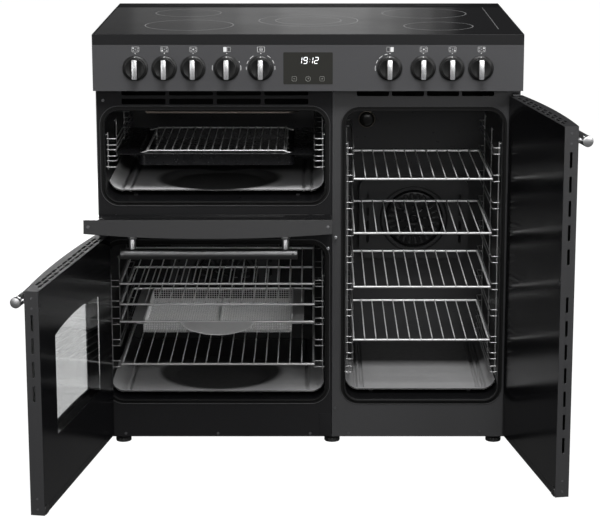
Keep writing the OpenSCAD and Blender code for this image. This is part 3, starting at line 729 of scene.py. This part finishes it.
SCALES = {
    3: [(-98, -78), (78, 98), (60, 66)],
    4: [(-96, -84), (-72, -58), (-48, -30), (28, 44), (56, 70), (82, 96)],
    5: [(-100, -80), (-70, -56), (-46, -30), (-20, -8)],
}
shape = bmesh.new()
for index, dashes in SCALES.items():
    for start, end in dashes:
        scale_arc(shape, knob_xs[index], start, end)
settle(mesh_piece("knob_scales", shape, smooth=False), "cabinet", white_ink)

# %% [markdown]
# ## Clock
#
# The clock is a dark window with four lit digits and three touch marks below them. Each digit is made of
# seven bars that slant a little, as on the real display.

# %% Clock digits and touch marks
CLOCK_FACE = span("clock_window")[0][1]
DIGIT_W, DIGIT_H, BAR, SLANT = 7.0, 13.0, 1.25, 0.12
DIGIT_Z = KNOB_Z + 16.5
# The middle of each bar, as shares of the digit across and up, and whether the bar lies flat
BARS = {
    "a": (0.5, 1.0, True), "b": (1.0, 0.75, False), "c": (1.0, 0.25, False), "d": (0.5, 0.0, True),
    "e": (0.0, 0.25, False), "f": (0.0, 0.75, False), "g": (0.5, 0.5, True),
}
LIT = {"1": "bc", "9": "abcdfg", "2": "abdeg"}


def leaning(points):
    return [(a + (b - DIGIT_Z) * SLANT, b) for a, b in points]


def digit_bar(shape, x, z, flat):
    half, thick = (DIGIT_W if flat else DIGIT_H / 2) / 2 - 0.35, BAR / 2
    side = half - thick
    points = [(-half, 0), (-side, thick), (side, thick), (half, 0), (side, -thick), (-side, -thick)]
    if not flat:
        points = [(b, a) for a, b in points]
    printed(shape, leaning([(x + a, z + b) for a, b in points]), CLOCK_FACE)


shape = bmesh.new()
for digit, offset in zip("1912", (-16.6, -5.4, 6.4, 17.4)):
    for bar in LIT[digit]:
        across, up, flat = BARS[bar]
        digit_bar(shape, offset + (across - 0.5) * DIGIT_W, DIGIT_Z + (up - 0.5) * DIGIT_H, flat)
for dot_z in (-2.4, 2.4):
    printed(shape, leaning(disc_points(3.6, DIGIT_Z + dot_z, 0.5, 10)), CLOCK_FACE)
settle(mesh_piece("clock_digits", shape, smooth=False), "cabinet", digit_light)

TOUCH_Z = KNOB_Z - 22.0
LESS_X, MORE_X, LINE = -28.8, 29.2, 0.6
# The minus, the two strokes of the plus, and the hands of the little clock between them: each with its
# width and height, and its middle across and above the marks' middle line
STROKES = [(4.0, LINE, LESS_X, 0.0), (4.0, LINE, MORE_X, 0.0), (LINE, 4.0, MORE_X, 0.0)]
STROKES += [(LINE, 3.6, 0.0, 1.5), (2.6, LINE, 1.2, 0.0)]
shape = bmesh.new()
for touch_x in (LESS_X, MORE_X):
    printed_line(shape, round_rect(10.0, 10.0, 2.5, 4, (touch_x, TOUCH_Z)), 0.5, CLOCK_FACE)
printed_line(shape, disc_points(0.0, TOUCH_Z, 5.4, 24), 0.5, CLOCK_FACE)
for wide, tall, x, up in STROKES:
    printed(shape, round_rect(wide, tall, 0.2, 1, (x, TOUCH_Z + up)), CLOCK_FACE)
settle(mesh_piece("clock_touch_marks", shape, smooth=False), "cabinet", grey_ink)

# %% [markdown]
# ## Handles
#
# A handle is a satin bar with a flat end cap at each end, a fine groove behind the cap, and two short
# posts that flare where they meet the door. The bar and its posts are turned on a lathe, which is also
# how they are drawn here.

# %% Handles
BAR_R, POST_R, BAR_OUT, BAR_DROP, BAR_INSET, POST_IN = 11.0, 7.0, 42.0, 44.0, 70.0, 24.0
BOW = 10.0  # how far the middle of a door stands in front of its edges


def bow(body, x):
    """How far the skin of a closed door stands in front of its edge plane, at x."""
    low, high = doors[body]
    half = (high[0] - low[0]) / 2
    radius = (half * half + BOW * BOW) / (2 * BOW)
    off = x - (low[0] + high[0]) / 2
    return BOW - (radius - math.sqrt(radius * radius - off * off))


def handle(body):
    low, high = doors[body]
    edge_y, bar_z = high[1] - DOOR_T, high[2] - BAR_DROP
    bar_y = edge_y - BAR_OUT
    start, length = low[0] + BAR_INSET, high[0] - low[0] - 2 * BAR_INSET
    cap = [(9.6, 0.0), (10.6, 0.4), (BAR_R, 1.2), (BAR_R, 8.0), (10.5, 8.5), (10.5, 9.3), (BAR_R, 9.8)]
    profile = cap + [(radius, length - distance) for radius, distance in reversed(cap)]
    shape = bmesh.new()
    turned(shape, profile, (start, bar_y, bar_z), (1, 0, 0), 64)
    posts = bmesh.new()
    neck, foot = POST_R - 0.6, POST_R + 2.5
    for x in (start + POST_IN, start + length - POST_IN):
        reach = edge_y - bow(body, x) - bar_y + 0.3
        post = [(POST_R - 0.5, BAR_R - 2.0), (POST_R, BAR_R), (POST_R, reach - 9.0), (neck, reach - 8.4)]
        post += [(neck, reach - 7.6), (POST_R + 1.0, reach - 6.6), (foot, reach - 3.5), (foot, reach)]
        turned(posts, post, (x, bar_y, bar_z), (0, 1, 0), 40)
    # The grill door's bar takes the darker copy of the steel, a painted shade
    steel = grill_bar_steel_painted_shade if body == "grill_door" else handle_steel
    settle(mesh_piece(body + "_bar", shape), body, steel, [body + "_handle"])
    settle(mesh_piece(body + "_posts", posts), body, handle_steel)


for body in doors:
    handle(body)

# %% [markdown]
# ## Oven seals and floors
#
# A round rubber seal runs round each oven mouth, on a flange. The oven floors are pressed sheet: a
# shoulder and grooves along each side, and in the two left ovens a shallow round dish above the lower
# element. They are drawn as a height over the floor.

# %% Seals
# Each mouth's middle, width and height
MOUTHS = {
    "grill": (LEFT_X, 640, 467, 195), "left": (LEFT_X, 274, 467, 347), "right": (RIGHT_X, 418, 332, 637),
}
MOUTH_R = 30.0


def mouth_ring(mouth, out):
    """The outline of a mouth, moved outwards by out."""
    x, z, width, height = MOUTHS[mouth]
    return round_rect(width + 2 * out, height + 2 * out, MOUTH_R + out, 12, (x, z))


def mouth_cord(name, out, y, radius):
    paths = [[(a, y, b) for a, b in mouth_ring(mouth, out)] for mouth in MOUTHS]
    return wires(name, paths, radius, closed=True)


cords = mouth_cord("mouth_seal_cords", 2.4, 37.9, 2.0)
settle(cords, "cabinet", seal_rubber, ["mouth_seals"])
settle(mouth_cord("mouth_seal_edges", 10.4, 39.2, 0.9), "cabinet", right_coat_painted_light)
shape = bmesh.new()
for mouth in MOUTHS:
    loops = []
    for out, y in ((3.0, 39.0), (9.6, 39.0), (9.6, 40.1), (3.0, 40.1)):
        loops.append([shape.verts.new((a, y, b)) for a, b in mouth_ring(mouth, out)])
    for low, high in zip(loops, loops[1:] + loops[:1]):
        belt(shape, low, high)
settle(mesh_piece("mouth_seal_flanges", shape), "cabinet", seal_rubber)


# %% Pressed floors
FLOOR_LEVEL, DISH_DEEP, DISH_R, CORNER_R = 13.0, 9.4, 131.0, 29.3
GROOVE_DEEP, GROOVE_HALF, ROLL, SHEET_T, FLOOR_BACK_Y = 5.0, 3.6, 2.5, 0.8, 467.5
WALL_GAP, NO_DISH = 1.6, 2.0
# Where each floor starts behind the panel's face, how far its grooves lie from the walls, the middle of
# its dish, its grey, a painted light, and where its painted shade begins
FLOORS = {
    "grill": (98.0, (28.0, 45.5), 226.0, 0.45, 285.0),
    "left": (58.0, (39.0,), 203.0, 0.30, 225.0),
    "right": (80.0, (24.0, 38.0), None, 0.27, 240.0),
}


def smooth(value):
    value = min(1.0, max(0.0, value))
    return value * value * (3 - 2 * value)


def floor_height(side, behind, lines, lens):
    """Height of a pressed floor, this far in from a wall and behind its rolled front edge."""
    height = FLOOR_LEVEL - ROLL * (1.0 - smooth(behind / ROLL))
    if side < CORNER_R:
        height += CORNER_R - math.sqrt(CORNER_R ** 2 - (CORNER_R - side) ** 2)
    for line in lines:
        height -= GROOVE_DEEP * smooth(1.5 - abs(side - line) / GROOVE_HALF) * smooth((behind - 3.0) / 4.0)
    return height - DISH_DEEP * smooth((1.0 - lens) / 0.24)


def thicken(piece, thickness, offset):
    """Gives a single sheet its thickness in millimetres."""
    sheet = piece.modifiers.new("thickness", "SOLIDIFY")
    sheet.thickness = thickness * MM
    sheet.offset = offset


def oven_floor(mouth):
    x, z, width, height = MOUTHS[mouth]
    front, lines, dish_y, level, painted_shade_from = FLOORS[mouth]
    name = mouth + "_floor_pressing"
    floor_z, half = z - height / 2, width / 2
    across, deep = 300, 130
    shape = bmesh.new()
    rows = []
    for j in range(deep + 1):
        y = front + (FLOOR_BACK_Y - front) * (j / deep) ** 1.3
        row = []
        for i in range(across + 1):
            share = i / across - 0.5
            a = (half - WALL_GAP) * (math.sin(share * math.pi) * 0.35 + share * 1.3)
            lens = math.hypot(a, y - dish_y) / DISH_R if dish_y else NO_DISH
            up = floor_height(half - abs(a), y - front, lines, lens)
            row.append(shape.verts.new((x + a, y, floor_z + up)))
        rows.append(row)
    for low, high in zip(rows, rows[1:]):
        for i in range(across):
            shape.faces.new((low[i], low[i + 1], high[i + 1], high[i]))
    piece = mesh_piece(name, shape)
    thicken(piece, SHEET_T, -1.0)
    dish = (x, dish_y, DISH_R * 1.1) if dish_y else None
    # The floor's grey is a painted light, its dark parts painted shade
    coat = floor_enamel_painted_light(mouth + "_floor_painted_light_enamel", level, front, painted_shade_from, dish)
    settle(piece, "cabinet", coat)
    print(name, "lies", FLOOR_LEVEL, "above the liner's floor at", floor_z)


for mouth in FLOORS:
    oven_floor(mouth)

# %% [markdown]
# ## Wirework
#
# The runners are ladders on the oven walls: pairs of rungs that take a shelf between them, welded to
# posts that short stays hold off the wall. The roasting basket is woven from thin wire on a stout rim,
# with a lens-shaped sheet grip at the front and a sheet flange on each side. The trivet's front and back
# bars are bent down a little at their ends, and its side bars are legs that stand in the grill pan.

# %% Shelf runners
# The heights at which shelves can lie
LEVELS = {
    "grill": (642, 618, 666), "left": (355, 309, 270, 174, 222),
    "right": (586.5, 467.5, 348, 229, 646, 527, 408, 289, 192, 162),
}
REACH = {"grill": 211.0, "left": 211.0, "right": 149.0}
RUNNER_FRONT, RUNNER_BACK, RUNNER_BELOW, RUNNER_ABOVE = 54.0, 413.0, 4.5, 9.1
rungs, posts, stays = [], [], []
for mouth, levels in LEVELS.items():
    middle_x, width = MOUTHS[mouth][0], MOUTHS[mouth][2]
    for side in (-1, 1):
        reaches = (width / 2 - 0.4, REACH[mouth], width / 2 - 4.5)
        wall, rung, post = [middle_x + side * reach for reach in reaches]
        for level in levels:
            for z in (level - RUNNER_BELOW, level + RUNNER_ABOVE):
                outer = post + side * 2.2
                ends = [(outer, RUNNER_FRONT, z), (rung, RUNNER_FRONT, z), (rung, RUNNER_BACK, z)]
                rungs.append(bend(ends + [(outer, RUNNER_BACK, z)], 5.0, 4))
        low, high = min(levels) - 10, max(levels) + 22
        for y in (RUNNER_FRONT + 2.4, 233.5, RUNNER_BACK - 2.4):
            posts.append([(post, y, low), (post, y, high)])
            for z in (low + 6, high - 4):
                stays.append([(wall, y, z), (post, y, z)])
settle(wires("runner_rungs", rungs, 1.2), "cabinet", runner_chrome, ["shelf_ladders"])
settle(wires("runner_posts", posts, 1.35), "cabinet", runner_chrome)
settle(wires("runner_stays", stays, 1.0), "cabinet", runner_chrome)

# %% Roasting basket
basket_low, basket_high = span("roasting_basket")
RIM_Z, MESH_DEEP, MESH_PITCH, MESH_R, MESH_HALF = 270.0, 23.5, 5.4, 0.55, 161.0
x0, x1, y0, y1 = LEFT_X - MESH_HALF, LEFT_X + MESH_HALF, 61.0, 348.0
bottom_z = RIM_Z - MESH_DEEP


def steps_between(low, high, pitch):
    count = round((high - low) / pitch)
    return [low + (high - low) * i / count for i in range(count + 1)]


loops = []
for x in steps_between(x0, x1, MESH_PITCH):
    loops.append(bend([(x, y0, RIM_Z), (x, y0, bottom_z), (x, y1, bottom_z), (x, y1, RIM_Z)], 5.0, 3))
for y in steps_between(y0, y1, MESH_PITCH):
    loops.append(bend([(x0, y, RIM_Z), (x0, y, bottom_z), (x1, y, bottom_z), (x1, y, RIM_Z)], 5.0, 3))
for z in steps_between(bottom_z + 4.5, RIM_Z - 4.0, MESH_PITCH):
    loops.append([(x0, y0, z), (x1, y0, z), (x1, y1, z), (x0, y1, z), (x0, y0, z)])
mesh_wires = wires("basket_mesh", loops, MESH_R)
mesh_wires.data.bevel_resolution = 1
settle(mesh_wires, "roasting_basket_body", wire_chrome, ["roasting_basket"])

rim_x0, rim_x1, rim_y0, rim_y1 = basket_low[0] + 2.5, basket_high[0] - 2.5, 60.0, y1 + 1
corners = [(rim_x0, rim_y0), (rim_x0, rim_y1), (rim_x1, rim_y1), (rim_x1, rim_y0)]
rails = [bend([(*corner, RIM_Z) for corner in corners], 9.0)]
rails.append([(rim_x0, rim_y0, RIM_Z), (rim_x1, rim_y0, RIM_Z)])
rails += [[(x, rim_y0, RIM_Z), (x, rim_y1, RIM_Z)] for x in (x0, x1)]
rails.append([(LEFT_X, y0, bottom_z + 1.5), (LEFT_X, y1, bottom_z + 1.5)])
settle(wires("basket_rim", rails, 2.4), "roasting_basket_body", wire_chrome)

FLANGE_W = 26.0
shape = bmesh.new()
for left in (x0 - 1.0 - FLANGE_W, x1 + 1.0):
    right = left + FLANGE_W
    strip = [(left, RIM_Z + 0.5), (left, RIM_Z - 0.5), (right, RIM_Z - 0.5), (right, RIM_Z + 0.5)]
    plate(shape, strip, 66.0, y1 - 2.0, bevel=0.2)
settle(mesh_piece("basket_flanges", shape), "roasting_basket_body", grip_steel)

# %% Basket grip
GRIP_HALF, GRIP_TOP = 84.0, RIM_Z + 1.0
edge = [(-GRIP_HALF, 0.0), (-GRIP_HALF + 7, -3.0), (-GRIP_HALF + 13, -13.0), (-GRIP_HALF + 24, -19.0)]
belly = [(a, -19.0 - 11.0 * (1 - (a / 60.0) ** 2)) for a in range(-48, 49, 8)]
mirrored = [(-a, b) for a, b in reversed(edge)]
outline = [(LEFT_X + a, GRIP_TOP + b) for a, b in edge + belly + mirrored]
shape = bmesh.new()
plate(shape, outline, 56.6, 57.8, bevel=0.4)
settle(mesh_piece("basket_grip", shape), "roasting_basket_body", grip_steel)
lip = [(a, 57.0, b) for a, b in outline]
settle(wires("basket_grip_lip", [lip], 1.1), "roasting_basket_body", wire_chrome)

# %% Grill trivet
trivet_low, trivet_high = span("grill_trivet")
TOP_Z, TRIVET_R = trivet_high[2] - 2.75, 1.5
left, right = trivet_low[0] + 2.0, trivet_high[0] - 2.0
front, back = trivet_low[1] + 2.0, trivet_high[1] - 2.0
foot_z, leg_z = trivet_low[2] + 2, TOP_Z - 2
bars = []
for y in (front, back):
    end_z = TOP_Z - 5.0
    ends = [(left - 20, y, end_z), (left - 8, y, end_z), (left + 5, y, TOP_Z), (right - 5, y, TOP_Z)]
    bars.append(bend(ends + [(right + 8, y, end_z), (right + 20, y, end_z)], 5.0))
for x in (left, right):
    legs = [(x, front + 3, foot_z), (x, front + 3, leg_z), (x, back - 3, leg_z), (x, back - 3, foot_z)]
    bars.append(bend(legs, 8.0))
settle(wires("trivet_frame", bars, TRIVET_R), "grill_pan_set", trivet_chrome, ["grill_trivet"])
rods = []
for x in steps_between(left + 4, right - 4, 17.2):
    low, high = TOP_Z - 1.5, TOP_Z + 1.5
    rods.append(bend([(x, front, low), (x, front, high), (x, back, high), (x, back, low)], 2.0, 3))
settle(wires("trivet_rods", rods, 1.1), "grill_pan_set", trivet_chrome)

# %% Shelf wire ends
SHELVES = [f"right_shelf_{i}" for i in (1, 2, 3, 4)]
SHELVES += [f"left_shelf_{i}" for i in ("top", "middle", "bottom")]


def shelf_ends(name):
    """The thin wires of a shelf turn down over its front bar and end there."""
    low, high = span(name)
    count = 11 if name.startswith("right") else 15
    left, right = low[0] + 2.5, high[0] - 2.5
    front, bar_z = low[1] + 2.5, low[2] + 2.5
    hooks = []
    for i in range(1, count + 1):
        x = left + (right - left) * i / (count + 1)
        hook = [(x, front + 6, bar_z + 2.0), (x, front - 1.0, bar_z + 2.6), (x, front - 2.4, bar_z + 0.4)]
        hooks.append(bend(hook, 2.0, 3))
    settle(wires(name + "_ends", hooks, 1.45), name + "_body", wire_chrome)


for name in SHELVES:
    shelf_ends(name)

# %% [markdown]
# ## Fan covers, lamps and feet
#
# Each fan cover carries a slotted disc, raised rings round it and a screw in the middle. Oven lamps sit
# behind domed glass in a metal ring. The feet are moulded with finger grips, for setting their height.

# %% Fan cover discs
FANS = [(LEFT_X, 274), (RIGHT_X, 418)]
cover_y = span("fan_covers")[0][1]
DISC_R, DISC_T = 66.0, 1.2


def is_slot(radius, step):
    """Whether this cell of the disc's polar grid is open."""
    if 44.0 < radius < 58.0:
        return step % 6 in (1, 2)
    if 22.0 < radius < 30.0:
        return step % 18 in (1, 2, 3)
    return False


def fan_disc(shape, x, z):
    """A round plate with two rings of slots, as a polar grid with cells left out."""
    radii = [8.0, 15.0, 22.0, 26.0, 30.0, 37.0, 44.0, 51.0, 58.0, 62.0, DISC_R]
    steps = 144
    grid = []
    for radius in radii:
        y = cover_y - 1.6 * smooth((DISC_R - radius) / 8.0)
        grid.append([shape.verts.new((a, y, b)) for a, b in disc_points(x, z, radius, steps)])
    for inner, outer, near, far in zip(radii, radii[1:], grid, grid[1:]):
        for i in range(steps):
            if not is_slot((inner + outer) / 2, i):
                j = (i + 1) % steps
                shape.faces.new((near[i], near[j], far[j], far[i]))


shape = bmesh.new()
for x, z in FANS:
    fan_disc(shape, x, z)
discs = mesh_piece("fan_cover_discs", shape)
thicken(discs, DISC_T, 0.0)
settle(discs, "cabinet", oven_enamel)
shape = bmesh.new()
for x, z in FANS:
    for inner, tall in ((64.0, 4.5), (75.0, 1.6)):
        ring = [(5.0, 0.1), (4.2, tall * 0.7), (2.5, tall), (0.8, tall * 0.7), (0.0, 0.1)]
        ring = [(inner + out, up) for out, up in ring]
        turned(shape, ring, (x, cover_y, z), (0, -1, 0), 96, closed=False)
    hub = [(9.5, 1.0), (9.2, 3.4), (7.6, 3.9), (6.4, 2.6), (4.2, 2.6), (3.8, 4.4), (1.0, 4.8)]
    turned(shape, hub, (x, cover_y, z), (0, -1, 0), 40)
settle(mesh_piece("fan_cover_rings", shape), "cabinet", oven_enamel)

# %% Lamps
lamp_y = span("oven_lamps")[1][1]
LAMPS = [(-48, 690), (-38, 394), (136, 648)]
DOME_R, DOME_RISE = 17.5, 5.0
dome = [(DOME_R * math.cos(a * 0.15), 0.5 + DOME_RISE * math.sin(a * 0.15)) for a in range(10)]
rim = [(20.0, 0.0), (20.0, 2.0), (19.0, 3.2), (17.8, 3.4), (17.4, 2.0)]
domes, rims = bmesh.new(), bmesh.new()
for x, z in LAMPS:
    turned(domes, dome, (x, lamp_y, z), (0, -1, 0), 48)
    turned(rims, rim, (x, lamp_y, z), (0, -1, 0), 48, closed=False)
settle(mesh_piece("lamp_domes", domes), "cabinet", lamp_glass, ["oven_lamps"])
settle(mesh_piece("lamp_rims", rims), "cabinet", burnt_steel)

# %% Feet
FOOT_R, GRIP_DEPTH, GRIPS = 16.2, 0.8, 12
shape = bmesh.new()
for x in (-407, 52, 407):
    for y in (62, 555):
        rim = [polar(x, y, FOOT_R + GRIP_DEPTH * math.cos(GRIPS * angle), angle) for angle in circle(96)]
        plate(shape, rim, 0.0, 8.5, axis=2, bevel=0.8)
        turned(shape, [(11.0, 8.0), (10.0, 9.5), (9.0, 10.0), (9.0, 15.0)], (x, y, 0), (0, 0, 1), 32)
settle(mesh_piece("feet_grips", shape), "cabinet", black_plastic, ["levelling_feet"])

# %% [markdown]
# ## Door hardware
#
# The free edge of each side door carries small screws, a catch socket and a moulded corner block at the
# bottom. They are small, but they are what makes the edge look like folded sheet and not a slab. The
# inner glass laps over the door's rim, with gaps where studs and hinge arms pass. A little cover sits low
# on the plate between the ovens.


# %% Door edge details
EDGE_SCREW = [(2.4, 0.0), (2.2, 0.35), (1.2, 0.5), (0.9, 0.2)]
TOP_SCREW = [(3.4, 0.0), (3.1, 0.4), (2.2, 0.6), (1.8, 0.1), (0.6, 0.1)]


def door_edge(body, side):
    """Screws, a corner block and a socket on the free edge; side is 1 where that is the right one."""
    low, high = doors[body]
    free, inner = high[0] if side > 0 else low[0], high[1]
    shape = bmesh.new()
    for z in (high[2] - 14, high[2] - 34, low[2] + 34, low[2] + 12):
        turned(shape, EDGE_SCREW, (free, inner - DOOR_T / 2, z), (side, 0, 0), 20)
    settle(mesh_piece(body + "_edge_screws", shape), body, dark_steel)
    shape = bmesh.new()
    block = round_rect(20, 17, 3, 4, (free - side * 11, low[2] + 9.5))
    plate(shape, block, inner - 3.0, inner + 2.4, bevel=1.0)
    socket = round_rect(9, 26, 4, 5, (free - side * 6.5, high[2] - 60))
    plate(shape, socket, inner - 1.0, inner + 0.2, bevel=0.1)
    settle(mesh_piece(body + "_corner_blocks", shape), body, black_plastic)


door_edge("left_door", 1)
door_edge("right_door", -1)

grill_low, grill_high = doors["grill_door"]
shape = bmesh.new()
for x in (grill_low[0] + 9, grill_high[0] - 9):
    turned(shape, TOP_SCREW, (x, grill_high[1] - DOOR_T / 2, grill_high[2]), (0, 0, 1), 24)
settle(mesh_piece("grill_door_edge_screws", shape), "grill_door", dark_steel)

# %% Cover plate
shape = bmesh.new()
plate(shape, round_rect(26, 52, 1.5, 3, (37, 42)), 38.9, 40.1, bevel=0.3)
settle(mesh_piece("plate_cover", shape), "cabinet", left_coat_painted_shade)


# %% Glass borders
BORDER_W, BORDER_IN, STUD_GAP = 13.3, 1.2, 6.0
# Where studs and hinge arms pass through a border: on which side, and at which places along it
STUDS = {
    "grill_door": ("low", (-405.0, 5.0)), "left_door": ("right", (439.0,)), "right_door": ("left", (463.0,)),
}


def runs(start, end, gaps):
    """The lengths from start to end that are left between gaps."""
    stops = [start] + [stop for gap in sorted(gaps) for stop in (gap - STUD_GAP, gap + STUD_GAP)] + [end]
    return list(zip(stops[::2], stops[1::2]))


def glass_border(body):
    """A thin black frame on the door's inner face, in four sides with gaps."""
    low, high = doors[body]
    gap_side, gaps = STUDS[body]
    shape = bmesh.new()
    x0, x1, z0, z1 = low[0] + BORDER_IN, high[0] - BORDER_IN, low[2] + BORDER_IN, high[2] - BORDER_IN
    for side, edge in (("left", x0), ("right", x1 - BORDER_W), ("low", z0), ("high", z1 - BORDER_W)):
        upright = side in ("left", "right")
        start, end = (z0, z1) if upright else (x0 + BORDER_W, x1 - BORDER_W)
        for near, far in runs(start, end, gaps if side == gap_side else ()):
            a0, b0, a1, b1 = near, edge, far, edge + BORDER_W
            if upright:
                a0, b0, a1, b1 = b0, a0, b1, a1
            plate(shape, [(a0, b0), (a1, b0), (a1, b1), (a0, b1)], high[1] + 0.02, high[1] + 0.22)
    settle(mesh_piece(body + "_glass_border", shape, smooth=False), body, door_black)


for body in doors:
    glass_border(body)

# %% [markdown]
# ## Soft edges
#
# No folded sheet has a knife edge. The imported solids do, so a small bevel is added on top of them. The
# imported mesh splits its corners, and a weld joins them first. The panel stays as packed, because the
# bevel would draw shading lines between its many holes.

# %% Bevelled edges
SOFTENED = {
    "hob_trim": 0.8, "hob_glass": 0.5, "rear_vent_rail": 0.6,
    "left_side_panel": 0.5, "right_side_panel": 0.5, "back_panel": 0.4, "terminal_cover": 0.8,
    "left_door_tray": 0.4, "right_door_tray": 0.4, "grill_door_tray": 0.4, "clock_window": 0.3,
}
for name, width in SOFTENED.items():
    weld = nodes[name].modifiers.new("weld", "WELD")
    weld.merge_threshold = 0.00001
    bevel = nodes[name].modifiers.new("bevel", "BEVEL")
    bevel.width = width * MM
    bevel.segments = 2
    bevel.limit_method = "ANGLE"
    bevel.angle_limit = math.radians(50)
    bevel.harden_normals = True

# %% [markdown]
# ## Studio
#
# The photograph was taken in a white studio. The floor and the surroundings are white to the camera, but
# what the black glass mirrors is darker and uneven. The main soft box stands in front and above, with
# weaker ones on the right, on the left, low down and straight ahead. Behind the hob, five boxes one
# inside the other give its glass a bright patch that fades outwards, and a wide one lights the back.

# %% Floor
FLOOR_HALF = 30.0  # metres
BLACK, WHITE = grey(0.0), grey(1.0)
floor_mesh = bpy.data.meshes.new("studio_floor")
corners = [(a * FLOOR_HALF, b * FLOOR_HALF, 0) for a, b in ((-1, -1), (1, -1), (1, 1), (-1, 1))]
floor_mesh.from_pydata(corners, [], [(0, 1, 2, 3)])
floor = added("studio_floor", floor_mesh)
pale = Finish("studio_white", grey(0.05), 0.9)
rays = pale.node("ShaderNodeLightPath")
seen = rays["Is Camera Ray"].larger(rays["Is Transmission Ray"])
pale.set(Emission_Color=pale.blend(seen, BLACK, WHITE), Emission_Strength=1.0)
floor_mesh.materials.append(pale.material)

# %% World
class Surroundings(Finish):
    """The world's own shader, with the same arithmetic."""

    def __init__(self, world):
        world.use_nodes = True
        self.tree = world.node_tree
        self.shader = self.tree.nodes["Background"]


world = bpy.data.worlds.new("studio")
bpy.context.scene.world = world
studio = Surroundings(world)
rays = studio.node("ShaderNodeLightPath")
room = studio.blend(rays["Is Glossy Ray"], grey(0.16, 0.005), grey(0.03, 0.001))
seen = rays["Is Camera Ray"].larger(rays["Is Transmission Ray"])
studio.set(Color=studio.blend(seen, room, WHITE))


# %% Lights
def soft_box(name, place, aim, size, power):
    """A rectangular soft light at a place in metres, turned to face aim."""
    data = bpy.data.lights.new(name, "AREA")
    data.shape = "RECTANGLE"
    data.size, data.size_y = size
    data.energy = power
    lamp = added(name, data)
    lamp.location = place
    lamp.rotation_euler = (Vector(aim) - Vector(place)).to_track_quat("-Z", "Y").to_euler()
    lamp.visible_camera = False


middle = at(0, 0, 500)
soft_box("front_top", (0.25, -2.2, 3.3), middle, (1.7, 1.0), 160.0)
soft_box("front_right", (2.6, -3.0, 1.8), middle, (1.4, 1.8), 55.0)
soft_box("front_left", (-3.0, -3.0, 1.6), middle, (1.2, 1.8), 18.0)
soft_box("front_low", (-1.7, -3.2, 0.5), middle, (1.0, 0.5), 10.0)
soft_box("front_wide", (0.6, -4.2, 1.6), middle, (2.0, 1.0), 46.0)
# The width, middle and power of each box behind the hob
BEHIND = [(1.5, -0.20, 0.25), (1.15, -0.10, 0.20), (0.85, -0.03, 0.15), (0.6, 0.03, 0.11), (0.35, 0.06, 0.07)]
for step, (width, x, power) in enumerate(BEHIND):
    place = (x, 3.3 + 0.08 * step, 1.15)
    soft_box(f"behind_hob_{step}", place, (x, 0.3, 0.9), (width, 0.6), power)
soft_box("back_low", (-0.6, 3.2, 0.55), at(0, 600, 450), (2.0, 0.7), 42.0)

# %% [markdown]
# ## Camera
#
# The photograph is taken from a little over four metres, from above the hob, straight on. The lens is
# long, and the camera is tilted down, with a little shift to frame the cooker as the photograph does.

# %% Camera
CAMERA_PLACE = (14.1, -4047.4, 1404.9)
PITCH_DOWN = 12.06
LENS = 117.27
SENSOR = 36.0
camera_data = bpy.data.cameras.new("camera")
camera_data.sensor_width = SENSOR
camera_data.lens = LENS
camera_data.shift_x = -0.0247
camera_data.shift_y = -0.1
camera = added("camera", camera_data)
camera.location = at(*CAMERA_PLACE)
camera.rotation_euler = (math.radians(90.0 - PITCH_DOWN), 0.0, 0.0)
bpy.context.scene.camera = camera
bpy.context.scene.view_settings.view_transform = "Standard"
